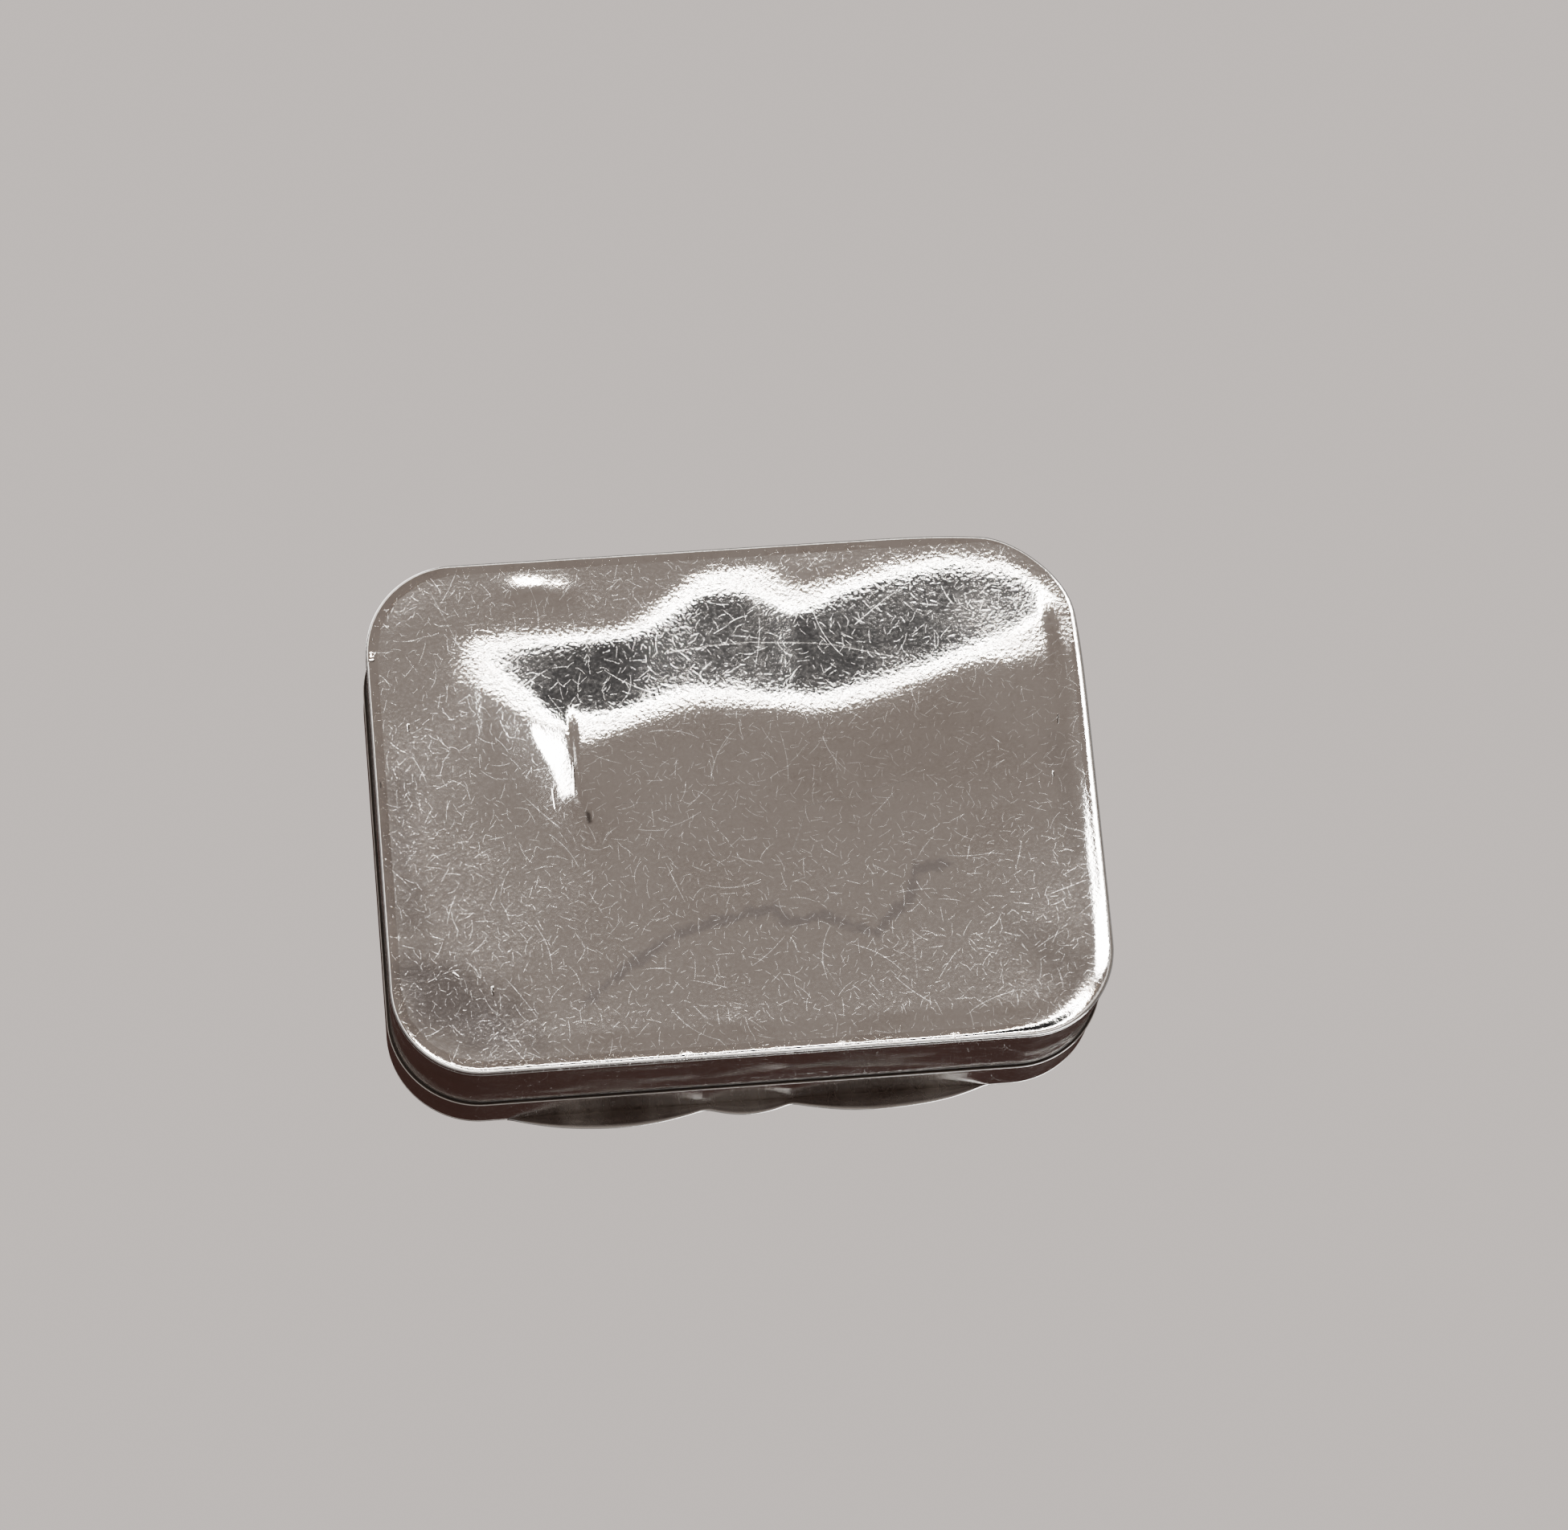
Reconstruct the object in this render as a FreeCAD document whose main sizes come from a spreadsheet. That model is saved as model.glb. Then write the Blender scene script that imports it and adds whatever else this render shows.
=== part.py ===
import FreeCAD, Part
import math
import os

import Sketcher
from FreeCAD import Vector

# Silver pill box: a flat-bottomed base, a hinged lid with a shaped thumbpiece.
# Frame: millimetres, +Z up, +X along the length, -Y to the front, where the
# thumbpiece is, +Y to the back, where the hinge is. The origin is the centre of
# the base plate's underside. The lid is modelled shut.

SHEET = "Dimensions"
DIMENSIONS = (
    ("box_length", 35.0, "outside length of the base"),
    ("box_width", 25.4, "outside width of the base, front to back"),
    ("corner_radius", 4.4, "outside radius of the base's corners"),
    ("wall", 0.5, "thickness of the base's and the lid's side walls"),
    ("plate_thickness", 0.6, "thickness of the base plate"),
    ("shoulder_radius", 0.45, "rounding of the base plate's lower edge"),
    ("seam_height", 6.7, "height of the base's side wall above the table"),
    ("lid_gap", 0.05, "open line between the base's wall and the lid's wall"),
    ("lid_overhang", 0.15, "how far the lid's wall stands outside the base's wall"),
    ("lid_wall_height", 3.5, "height of the lid's side wall"),
    ("lid_plate_thickness", 0.5, "thickness of the lid's flat border"),
    ("lid_edge_radius", 0.3, "rounding of the lid's upper edge"),
    ("panel_inset", 2.6, "width of the flat border round the lid's raised panel"),
    ("panel_height", 0.45, "how far the raised panel stands above the border"),
    ("panel_bevel", 0.4, "slope round the raised panel"),
    ("bezel_thickness", 0.35, "thickness of the inner strip that the lid closes over"),
    ("bezel_drop", 3.2, "how far the inner strip reaches below the seam"),
    ("bezel_rise", 1.0, "how far the inner strip stands above the seam"),
    ("bezel_back_stop", 6.2, "distance from the back wall to the inner strip's two ends"),
    ("hinge_length", 24.0, "length of the hinge's five knuckles together"),
    ("hinge_offset", 0.15, "distance of the hinge line behind the base's back wall"),
    ("knuckle_count", 5.0, "number of knuckles"),
    ("knuckle_radius", 0.9, "outside radius of a knuckle"),
    ("knuckle_gap", 0.06, "open line between two knuckles"),
    ("knuckle_chamfer", 0.08, "broken edge at each end of a knuckle"),
    ("pin_radius", 0.4, "radius of the hinge pin"),
    ("running_clearance", 0.04, "radial clearance of the pin in the lid's knuckles"),
    ("seat_clearance", 0.1, "gap between a knuckle and the walls that it turns past"),
    ("leaf_thickness", 0.4, "thickness of the strips that carry the knuckles"),
    ("leaf_depth", 2.6, "reach of the strips from the seam"),
    ("plug_depth", 0.6, "length of each end plug inside its knuckle"),
    ("plug_head_radius", 0.62, "radius of an end plug's head"),
    ("plug_head_height", 0.22, "height of an end plug's head"),
    ("plug_head_round", 0.16, "rounding of an end plug's head"),
    ("thumb_half_span", 12.0, "half of the thumbpiece's width"),
    ("thumb_thickness", 0.5, "thickness of the thumbpiece"),
    ("thumb_drop", 0.6, "distance of the thumbpiece's underside below the lid's border"),
    ("thumb_lobe_radius", 17.0, "curve of the thumbpiece's two side lobes"),
    ("thumb_centre_radius", 5.6, "curve of the thumbpiece's centre lobe"),
    ("thumb_valley", 0.25, "reach of the thumbpiece at its two valleys"),
    ("thumb_valley_place", 2.1, "distance of the valleys from the middle"),
    ("thumb_valley_radius", 1.0, "rounding of the two valleys"),
)
ALIASES = [row[0] for row in DIMENSIONS]
VALUES = {row[0]: row[1] for row in DIMENSIONS}

SEAM = "seam_height"
LID_BOTTOM = "( seam_height + lid_gap )"
LID_TOP = "( seam_height + lid_gap + lid_wall_height )"
HINGE_LINE = "( box_width / 2 + hinge_offset )"
KNUCKLE_PITCH = "( hinge_length / knuckle_count )"
CLEAR_RADIUS = "( knuckle_radius + seat_clearance )"
SEAT_LENGTH = "( hinge_length + 2 * plug_head_height + 2 * seat_clearance )"
LID_LENGTH = "( box_length + 2 * lid_overhang )"
LID_WIDTH = "( box_width + 2 * lid_overhang )"
LID_RADIUS = "( corner_radius + lid_overhang )"

doc = FreeCAD.newDocument("PillBox")
sheet = doc.addObject("Spreadsheet::Sheet", SHEET)
for number, (alias, value, meaning) in enumerate(DIMENSIONS, start=1):
    sheet.set("A%d" % number, alias)
    sheet.set("B%d" % number, str(value))
    sheet.set("C%d" % number, meaning)
    sheet.setAlias("B%d" % number, alias)
doc.recompute()

bodies = []


# ---------------------------------------------------------------- helpers

def bind(target, prop, expression):
    """Ties a property to the sheet; the expression's words are parted by spaces."""
    words = [SHEET + "." + word if word in ALIASES else word for word in expression.split()]
    target.setExpression(prop, " ".join(words))


def new_body(name):
    body = doc.addObject("PartDesign::Body", name)
    body.Label = name
    bodies.append(body)
    return body


def new_sketch(body, role, name, offset="0"):
    """A sketch on one of the body's own origin planes, moved along its normal."""
    plane = [item for item in body.Origin.OriginFeatures if item.Role == role][0]
    sketch = body.newObject("Sketcher::SketchObject", name)
    sketch.AttachmentSupport = [(plane, "")]
    sketch.MapMode = "FlatFace"
    bind(sketch, "AttachmentOffset.Base.z", offset)
    return sketch


def dimension(sketch, name, constraint, expression):
    """Adds a named size to a sketch and ties it to the sheet."""
    index = sketch.addConstraint(constraint)
    sketch.renameConstraint(index, name)
    bind(sketch, "Constraints." + name, expression)


def rounded_rectangle(sketch, tag, length, width, radius):
    """A rectangle with round corners, centred on the sketch's origin."""
    half_x = VALUES["box_length"] / 2
    half_y = VALUES["box_width"] / 2
    r = VALUES["corner_radius"]
    quarter = math.pi / 2
    # Each side, its two ends, then the corner that follows it anticlockwise.
    sides = (
        (Vector(r - half_x, -half_y), Vector(half_x - r, -half_y), Vector(half_x - r, r - half_y)),
        (Vector(half_x, r - half_y), Vector(half_x, half_y - r), Vector(half_x - r, half_y - r)),
        (Vector(half_x - r, half_y), Vector(r - half_x, half_y), Vector(r - half_x, half_y - r)),
        (Vector(-half_x, half_y - r), Vector(-half_x, r - half_y), Vector(r - half_x, r - half_y)),
    )
    lines = []
    arcs = []
    for step, (begin, end, centre) in enumerate(sides):
        lines.append(sketch.addGeometry(Part.LineSegment(begin, end)))
        circle = Part.Circle(centre, Vector(0, 0, 1), r)
        arc = Part.ArcOfCircle(circle, (step - 1) * quarter, step * quarter)
        arcs.append(sketch.addGeometry(arc))
    for step in range(4):
        sketch.addConstraint(Sketcher.Constraint("Tangent", lines[step], 2, arcs[step], 1))
        sketch.addConstraint(Sketcher.Constraint("Tangent", arcs[step], 2, lines[(step + 1) % 4], 1))
    for step in (0, 2):
        sketch.addConstraint(Sketcher.Constraint("Horizontal", lines[step]))
    for step in (1, 3):
        sketch.addConstraint(Sketcher.Constraint("Vertical", lines[step]))
    for arc in arcs[1:]:
        sketch.addConstraint(Sketcher.Constraint("Equal", arcs[0], arc))
    sketch.addConstraint(Sketcher.Constraint("Symmetric", arcs[0], 3, arcs[2], 3, -1, 1))
    dimension(sketch, tag + "_radius", Sketcher.Constraint("Radius", arcs[0], r), radius)
    dimension(sketch, tag + "_length",
              Sketcher.Constraint("DistanceX", lines[3], 1, lines[1], 1, 2 * half_x), length)
    dimension(sketch, tag + "_width",
              Sketcher.Constraint("DistanceY", lines[0], 1, lines[2], 1, 2 * half_y), width)


def rectangle(sketch, low_x, high_x, low_y, high_y):
    """A plain rectangle between four sheet expressions."""
    corners = (Vector(-1, -1), Vector(1, -1), Vector(1, 1), Vector(-1, 1))
    lines = []
    for step in range(4):
        segment = Part.LineSegment(corners[step], corners[(step + 1) % 4])
        lines.append(sketch.addGeometry(segment))
    for step in range(4):
        follower = lines[(step + 1) % 4]
        sketch.addConstraint(Sketcher.Constraint("Coincident", lines[step], 2, follower, 1))
        sketch.addConstraint(Sketcher.Constraint("Vertical" if step % 2 else "Horizontal", lines[step]))
    dimension(sketch, "low_x", Sketcher.Constraint("DistanceX", -1, 1, lines[0], 1, -1), low_x)
    dimension(sketch, "high_x", Sketcher.Constraint("DistanceX", -1, 1, lines[0], 2, 1), high_x)
    dimension(sketch, "low_y", Sketcher.Constraint("DistanceY", -1, 1, lines[0], 1, -1), low_y)
    dimension(sketch, "high_y", Sketcher.Constraint("DistanceY", -1, 1, lines[2], 1, 1), high_y)


def ring(sketch, tag, radius):
    """A circle round the hinge line, in a sketch on the YZ plane."""
    hinge_y = VALUES["box_width"] / 2 + VALUES["hinge_offset"]
    centre = Vector(hinge_y, VALUES["seam_height"])
    circle = sketch.addGeometry(Part.Circle(centre, Vector(0, 0, 1), VALUES["pin_radius"]))
    dimension(sketch, tag + "_radius",
              Sketcher.Constraint("Radius", circle, VALUES["pin_radius"]), radius)
    dimension(sketch, tag + "_y",
              Sketcher.Constraint("DistanceX", -1, 1, circle, 3, centre.x), HINGE_LINE)
    dimension(sketch, tag + "_z",
              Sketcher.Constraint("DistanceY", -1, 1, circle, 3, centre.y), SEAM)


def pad(body, sketch, length, midplane=False, reverse=False):
    feature = body.newObject("PartDesign::Pad", sketch.Name + "_pad")
    feature.Profile = sketch
    feature.Midplane = midplane
    feature.Reversed = reverse
    bind(feature, "Length", length)
    doc.recompute()
    return feature


def pocket(body, sketch, length, midplane=False, reverse=False):
    """Cuts a sketch out of the body, and stops if nothing was cut."""
    before = body.Shape.Volume
    feature = body.newObject("PartDesign::Pocket", sketch.Name + "_pocket")
    feature.Profile = sketch
    feature.Midplane = midplane
    feature.Reversed = reverse
    bind(feature, "Length", length)
    doc.recompute()
    if body.Shape.Volume > before - 1e-6:
        raise RuntimeError(sketch.Name + " cut nothing")
    return feature


def dress(body, kind, edges, prop, size):
    """Rounds or bevels the named edges of the body's last feature."""
    base = body.Tip
    feature = body.newObject("PartDesign::" + kind, body.Name + "_" + kind.lower())
    feature.Base = (base, edges)
    bind(feature, prop, size)
    doc.recompute()
    return feature


def edges_where(shape, test):
    return ["Edge%d" % (number + 1) for number, edge in enumerate(shape.Edges) if test(edge)]


def lies_at(height):
    """True for an edge that lies flat at the given height."""
    return lambda edge: max(abs(vertex.Z - height) for vertex in edge.Vertexes) < 1e-4


def cut_round_hinge(body, tag, radius, length, place="0"):
    """Cuts a round seat along the hinge line, centred at the given X."""
    sketch = new_sketch(body, "YZ_Plane", body.Name + "_" + tag, place)
    ring(sketch, tag, radius)
    pocket(body, sketch, length, midplane=True)


# ---------------------------------------------------------------- base

def make_base_plate():
    """The flat bottom, with a rounded lower edge."""
    body = new_body("base_plate")
    sketch = new_sketch(body, "XY_Plane", "plate_outline")
    rounded_rectangle(sketch, "outer", "box_length", "box_width", "corner_radius")
    pad(body, sketch, "plate_thickness")
    dress(body, "Fillet", edges_where(body.Shape, lies_at(0)), "Radius", "shoulder_radius")


def make_base_band():
    """The side wall, one strip bent round and seated for the hinge at the back."""
    body = new_body("base_band")
    sketch = new_sketch(body, "XY_Plane", "base_band_outline", "plate_thickness")
    rounded_rectangle(sketch, "outer", "box_length", "box_width", "corner_radius")
    rounded_rectangle(sketch, "inner", "box_length - 2 * wall", "box_width - 2 * wall",
                      "corner_radius - wall")
    pad(body, sketch, "seam_height - plate_thickness")
    cut_round_hinge(body, "seat", CLEAR_RADIUS, SEAT_LENGTH)


def make_base_bezel():
    """The inner strip along the front and the sides that the lid closes over."""
    body = new_body("base_bezel")
    sketch = new_sketch(body, "XY_Plane", "bezel_outline", "seam_height - bezel_drop")
    rounded_rectangle(sketch, "outer", "box_length - 2 * wall", "box_width - 2 * wall",
                      "corner_radius - wall")
    rounded_rectangle(sketch, "inner", "box_length - 2 * wall - 2 * bezel_thickness",
                      "box_width - 2 * wall - 2 * bezel_thickness",
                      "corner_radius - wall - bezel_thickness")
    pad(body, sketch, "bezel_drop + bezel_rise")
    ends = new_sketch(body, "XY_Plane", "bezel_ends", "seam_height - bezel_drop")
    rectangle(ends, "- box_length / 2", "box_length / 2",
              "box_width / 2 - bezel_back_stop", "box_width / 2")
    pocket(body, ends, "bezel_drop + bezel_rise", reverse=True)


def make_hinge_leaf(name, foot, wall_inside, own_knuckles, other_knuckles):
    """A strip soldered inside a back wall, hollowed to carry that side's knuckles."""
    body = new_body(name)
    sketch = new_sketch(body, "XY_Plane", name + "_outline", foot)
    rectangle(sketch, "- hinge_length / 2", "hinge_length / 2",
              wall_inside + " - leaf_thickness", wall_inside)
    pad(body, sketch, "leaf_depth")
    for place in own_knuckles:
        cut_round_hinge(body, "seat_%d" % place, "knuckle_radius", KNUCKLE_PITCH, knuckle_x(place))
    for place in other_knuckles:
        cut_round_hinge(body, "relief_%d" % place, CLEAR_RADIUS, KNUCKLE_PITCH, knuckle_x(place))


# ---------------------------------------------------------------- hinge

def knuckle_x(place):
    """The X of a knuckle's middle; places count from 0 at the -X end."""
    return "- hinge_length / 2 + %s * %.1f" % (KNUCKLE_PITCH, place + 0.5)


def make_knuckle(name, place, bore):
    """One tube of the hinge."""
    body = new_body(name)
    sketch = new_sketch(body, "YZ_Plane", name + "_section", knuckle_x(place))
    ring(sketch, "outside", "knuckle_radius")
    ring(sketch, "bore", bore)
    pad(body, sketch, KNUCKLE_PITCH + " - knuckle_gap", midplane=True)
    outside = 2 * math.pi * VALUES["knuckle_radius"]
    rims = edges_where(body.Shape, lambda edge: abs(edge.Length - outside) < 0.01)
    dress(body, "Chamfer", rims, "Size", "knuckle_chamfer")


def make_hinge_pin():
    body = new_body("hinge_pin")
    sketch = new_sketch(body, "YZ_Plane", "pin_section")
    ring(sketch, "pin", "pin_radius")
    pad(body, sketch, "hinge_length - knuckle_gap - 2 * plug_depth", midplane=True)


def make_pin_plug(name, side):
    """A plug with a rounded head that closes the -X or the +X end of the hinge's bore."""
    body = new_body(name)
    mouth = "%d * ( hinge_length / 2 - knuckle_gap / 2 )" % side
    stem = new_sketch(body, "YZ_Plane", name + "_stem", mouth)
    ring(stem, "stem", "pin_radius")
    pad(body, stem, "plug_depth", reverse=side > 0)
    head = new_sketch(body, "YZ_Plane", name + "_head", mouth)
    ring(head, "head", "plug_head_radius")
    pad(body, head, "plug_head_height", reverse=side < 0)
    crown_x = side * (VALUES["hinge_length"] / 2 - VALUES["knuckle_gap"] / 2
                      + VALUES["plug_head_height"])
    rim = edges_where(body.Shape, lambda edge: abs(edge.Vertexes[0].X - crown_x) < 1e-4
                      and abs(edge.Vertexes[-1].X - crown_x) < 1e-4)
    dress(body, "Fillet", rim, "Radius", "plug_head_round")


# ---------------------------------------------------------------- lid

def make_lid_band():
    """The lid's side wall, a little larger than the base, seated for the hinge."""
    body = new_body("lid_band")
    sketch = new_sketch(body, "XY_Plane", "lid_band_outline", LID_BOTTOM)
    rounded_rectangle(sketch, "outer", LID_LENGTH, LID_WIDTH, LID_RADIUS)
    rounded_rectangle(sketch, "inner", LID_LENGTH + " - 2 * wall", LID_WIDTH + " - 2 * wall",
                      LID_RADIUS + " - wall")
    pad(body, sketch, "lid_wall_height")
    cut_round_hinge(body, "seat", CLEAR_RADIUS, SEAT_LENGTH)


def make_lid_top():
    """The lid's plate: a flat border with a rounded edge, and a panel pressed up from below."""
    body = new_body("lid_top")
    sketch = new_sketch(body, "XY_Plane", "lid_top_outline", LID_TOP)
    rounded_rectangle(sketch, "outer", LID_LENGTH, LID_WIDTH, LID_RADIUS)
    pad(body, sketch, "lid_plate_thickness")
    border_height = (VALUES["seam_height"] + VALUES["lid_gap"] + VALUES["lid_wall_height"]
                     + VALUES["lid_plate_thickness"])
    dress(body, "Fillet", edges_where(body.Shape, lies_at(border_height)), "Radius",
          "lid_edge_radius")
    panel = new_sketch(body, "XY_Plane", "lid_panel_outline", LID_TOP + " + lid_plate_thickness")
    rounded_rectangle(panel, "panel", "box_length - 2 * panel_inset",
                      "box_width - 2 * panel_inset", "corner_radius - panel_inset / 2")
    pad(body, panel, "panel_height")
    panel_top = border_height + VALUES["panel_height"]
    dress(body, "Chamfer", edges_where(body.Shape, lies_at(panel_top)), "Size", "panel_bevel")
    hollow = new_sketch(body, "XY_Plane", "lid_panel_hollow", LID_TOP)
    rounded_rectangle(hollow, "hollow", "box_length - 2 * panel_inset - 2 * panel_bevel",
                      "box_width - 2 * panel_inset - 2 * panel_bevel",
                      "corner_radius - panel_inset / 2 - panel_bevel")
    pocket(body, hollow, "panel_height", reverse=True)


def bow_crest(begin, finish, radius):
    """The middle of an arc that bows to the -Y side between two points."""
    chord = finish - begin
    rise = radius - (radius ** 2 - (chord.Length / 2) ** 2) ** 0.5
    return (begin + finish) / 2 + Vector(chord.y, -chord.x).normalize() * rise


def make_thumbpiece():
    """A thin lip under the lid's front edge: two wide lobes, a small one between."""
    body = new_body("thumbpiece")
    sketch = new_sketch(body, "XY_Plane", "thumb_outline",
                        LID_TOP + " + lid_plate_thickness - thumb_drop")
    face = -(VALUES["box_width"] / 2 + VALUES["lid_overhang"])
    end = VALUES["thumb_half_span"]
    valley_x = VALUES["thumb_valley_place"]
    valley_y = face - VALUES["thumb_valley"]
    sketch.addGeometry(Part.LineSegment(Vector(end, face), Vector(-end, face)))
    runs = (
        (Vector(-end, face), Vector(-valley_x, valley_y), VALUES["thumb_lobe_radius"]),
        (Vector(-valley_x, valley_y), Vector(valley_x, valley_y), VALUES["thumb_centre_radius"]),
        (Vector(valley_x, valley_y), Vector(end, face), VALUES["thumb_lobe_radius"]),
    )
    for begin, finish, radius in runs:
        sketch.addGeometry(Part.Arc(begin, bow_crest(begin, finish, radius), finish))
    # An arc's first point is its -X end, because every arc runs anticlockwise.
    for first, second in ((0, 1), (1, 2), (2, 3), (3, 0)):
        sketch.addConstraint(Sketcher.Constraint("Coincident", first, 2, second, 1))
    sketch.addConstraint(Sketcher.Constraint("Horizontal", 0))
    face_rule = "- box_width / 2 - lid_overhang"
    dimension(sketch, "face", Sketcher.Constraint("DistanceY", -1, 1, 0, 1, face), face_rule)
    dimension(sketch, "left_end", Sketcher.Constraint("DistanceX", 0, 2, -1, 1, end),
              "thumb_half_span")
    dimension(sketch, "right_end", Sketcher.Constraint("DistanceX", -1, 1, 0, 1, end),
              "thumb_half_span")
    dimension(sketch, "left_valley", Sketcher.Constraint("DistanceX", 2, 1, -1, 1, valley_x),
              "thumb_valley_place")
    dimension(sketch, "right_valley", Sketcher.Constraint("DistanceX", -1, 1, 2, 2, valley_x),
              "thumb_valley_place")
    for point, tag in ((1, "left"), (2, "right")):
        dimension(sketch, tag + "_reach",
                  Sketcher.Constraint("DistanceY", -1, 1, 2, point, valley_y),
                  face_rule + " - thumb_valley")
    sketch.addConstraint(Sketcher.Constraint("Equal", 1, 3))
    for arc, tag in ((1, "lobe"), (2, "centre")):
        alias = "thumb_%s_radius" % tag
        dimension(sketch, tag + "_radius", Sketcher.Constraint("Radius", arc, VALUES[alias]), alias)
    pad(body, sketch, "thumb_thickness")
    valley_edges = edges_where(
        body.Shape,
        lambda edge: all(abs(abs(vertex.X) - valley_x) < 1e-3 for vertex in edge.Vertexes)
        and abs(edge.Vertexes[0].X - edge.Vertexes[-1].X) < 1e-3)
    dress(body, "Fillet", valley_edges, "Radius", "thumb_valley_radius")


# ---------------------------------------------------------------- the whole box

BASE_KNUCKLES = {"base_knuckle_left": 0, "base_knuckle_middle": 2, "base_knuckle_right": 4}
LID_KNUCKLES = {"lid_knuckle_left": 1, "lid_knuckle_right": 3}

make_base_plate()
make_base_band()
make_base_bezel()
make_hinge_leaf("base_hinge_leaf", "seam_height - leaf_depth", "box_width / 2 - wall",
                BASE_KNUCKLES.values(), LID_KNUCKLES.values())
make_lid_band()
make_lid_top()
make_hinge_leaf("lid_hinge_leaf", LID_BOTTOM, "box_width / 2 + lid_overhang - wall",
                LID_KNUCKLES.values(), BASE_KNUCKLES.values())
make_thumbpiece()
for knuckle, place in BASE_KNUCKLES.items():
    make_knuckle(knuckle, place, "pin_radius")
for knuckle, place in LID_KNUCKLES.items():
    make_knuckle(knuckle, place, "pin_radius + running_clearance")
make_hinge_pin()
make_pin_plug("pin_plug_left", -1)
make_pin_plug("pin_plug_right", 1)
doc.recompute()

# ---------------------------------------------------------------- checks and files

for item in doc.Objects:
    if "Invalid" in item.State or "Error" in item.State:
        raise RuntimeError("%s did not compute: %s" % (item.Label, item.State))
    if item.TypeId == "Sketcher::SketchObject" and not item.FullyConstrained:
        raise RuntimeError(item.Label + " is not fully constrained")
for body in bodies:
    if body.Shape.isNull() or not body.Shape.isValid():
        raise RuntimeError(body.Label + " has no valid shape")
    if len(body.Shape.Solids) != 1:
        raise RuntimeError("%s has %d solids" % (body.Label, len(body.Shape.Solids)))

os.makedirs("parts", exist_ok=True)
for body in bodies:
    body.Shape.exportStep(os.path.join("parts", body.Label + ".step"))
    box = body.Shape.BoundBox
    print("%-20s %8.2f mm3  x %6.2f %6.2f  y %6.2f %6.2f  z %6.2f %6.2f" % (
        body.Label, body.Shape.Volume, box.XMin, box.XMax, box.YMin, box.YMax, box.ZMin, box.ZMax))
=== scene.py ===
import math

import bpy
import numpy as np
from mathutils import Matrix, Vector


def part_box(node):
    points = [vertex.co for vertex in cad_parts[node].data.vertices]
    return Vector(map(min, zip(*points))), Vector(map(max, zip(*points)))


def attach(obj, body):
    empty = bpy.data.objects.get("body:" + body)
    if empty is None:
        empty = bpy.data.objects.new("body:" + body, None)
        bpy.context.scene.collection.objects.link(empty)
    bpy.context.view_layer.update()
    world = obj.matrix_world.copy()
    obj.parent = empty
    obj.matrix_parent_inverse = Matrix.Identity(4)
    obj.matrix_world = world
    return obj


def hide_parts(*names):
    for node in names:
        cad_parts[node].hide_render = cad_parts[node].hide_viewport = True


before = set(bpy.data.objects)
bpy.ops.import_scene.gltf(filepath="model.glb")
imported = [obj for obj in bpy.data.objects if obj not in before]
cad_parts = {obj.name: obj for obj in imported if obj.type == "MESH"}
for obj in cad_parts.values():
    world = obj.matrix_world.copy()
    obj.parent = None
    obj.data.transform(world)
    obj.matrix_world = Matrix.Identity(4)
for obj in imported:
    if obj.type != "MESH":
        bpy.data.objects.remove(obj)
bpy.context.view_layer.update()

# A small silver pill box, seen from below as in the photograph. Shapes are worked out in
# millimetres in the CAD frame: +Z up, -Y the thumbpiece, +Y the hinge, z = 0 the underside.
MM = 0.001
CORNER = 4.4          # corner radius of the base outline
LID_CORNER = 4.55     # corner radius of the lid outline
WALL = 0.5            # thickness of both bands
SEAT_HALF = 12.32     # the bands are cut away for the knuckles between these places
SEAT_RADIUS = 1.0     # radius of that cut round the hinge line


def node_box(node):
    """A CAD node's lowest and highest corners, in millimetres."""
    low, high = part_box(node)
    return np.array(low) / MM, np.array(high) / MM


_, PLATE_HIGH = node_box("base_plate")
BASE_LOW, BASE_HIGH = node_box("base_band")
LID_LOW, LID_HIGH = node_box("lid_band")
TOP_LOW, TOP_HIGH = node_box("lid_top")
THUMB_LOW, THUMB_HIGH = node_box("thumbpiece")
_, HINGE_Y, HINGE_Z = sum(node_box("hinge_pin")) / 2


# ---------------- shape functions

def smoothstep(low, high, value):
    """0 below low, 1 above high and a smooth rise between them."""
    share = np.clip((value - low) / (high - low), 0.0, 1.0)
    return share * share * (3.0 - 2.0 * share)


def soft_above(value, width):
    """0 below zero and the value itself above it, with a rounded corner of that width."""
    return 0.5 * (value + np.sqrt(value * value + width * width))


CURVE_STEP = 0.05     # spacing of the places at which smooth curves are worked out
CURVE_REACH = 20.0    # smooth curves run from minus this to plus this


def smooth_curve(points, at, softness=0.5):
    """A smooth curve that follows a few given (place, value) points."""
    known = np.array(sorted(points))
    dense = np.arange(-CURVE_REACH, CURVE_REACH, CURVE_STEP)
    reach = np.arange(-3 * softness, 3 * softness + CURVE_STEP / 2, CURVE_STEP)
    weight = np.exp(-0.5 * (reach / softness) ** 2)
    line = np.interp(dense, known[:, 0], known[:, 1])
    padded = np.pad(line, len(reach) // 2, mode="edge")
    soft = np.convolve(padded, weight / weight.sum(), "valid")[: len(dense)]
    return np.interp(at, dense, soft)


def ripple(x, y, wavelength, height, seed):
    """Seeded low waves that run in every direction, like sheet metal worked by hand."""
    draw = np.random.default_rng(seed)
    total = np.zeros_like(x)
    waves = 9
    for _ in range(waves):
        turn = draw.uniform(0.0, 2.0 * np.pi)
        shift = draw.uniform(0.0, 2.0 * np.pi)
        length = wavelength * draw.uniform(0.7, 1.6)
        along = x * np.cos(turn) + y * np.sin(turn)
        total += np.sin(2.0 * np.pi * along / length + shift)
    return height * total / math.sqrt(waves)


def dimple(x, y, place, radius):
    """A round hollow 1 deep at its place."""
    return np.exp(-((x - place[0]) ** 2 + (y - place[1]) ** 2) / (2.0 * radius * radius))


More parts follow.
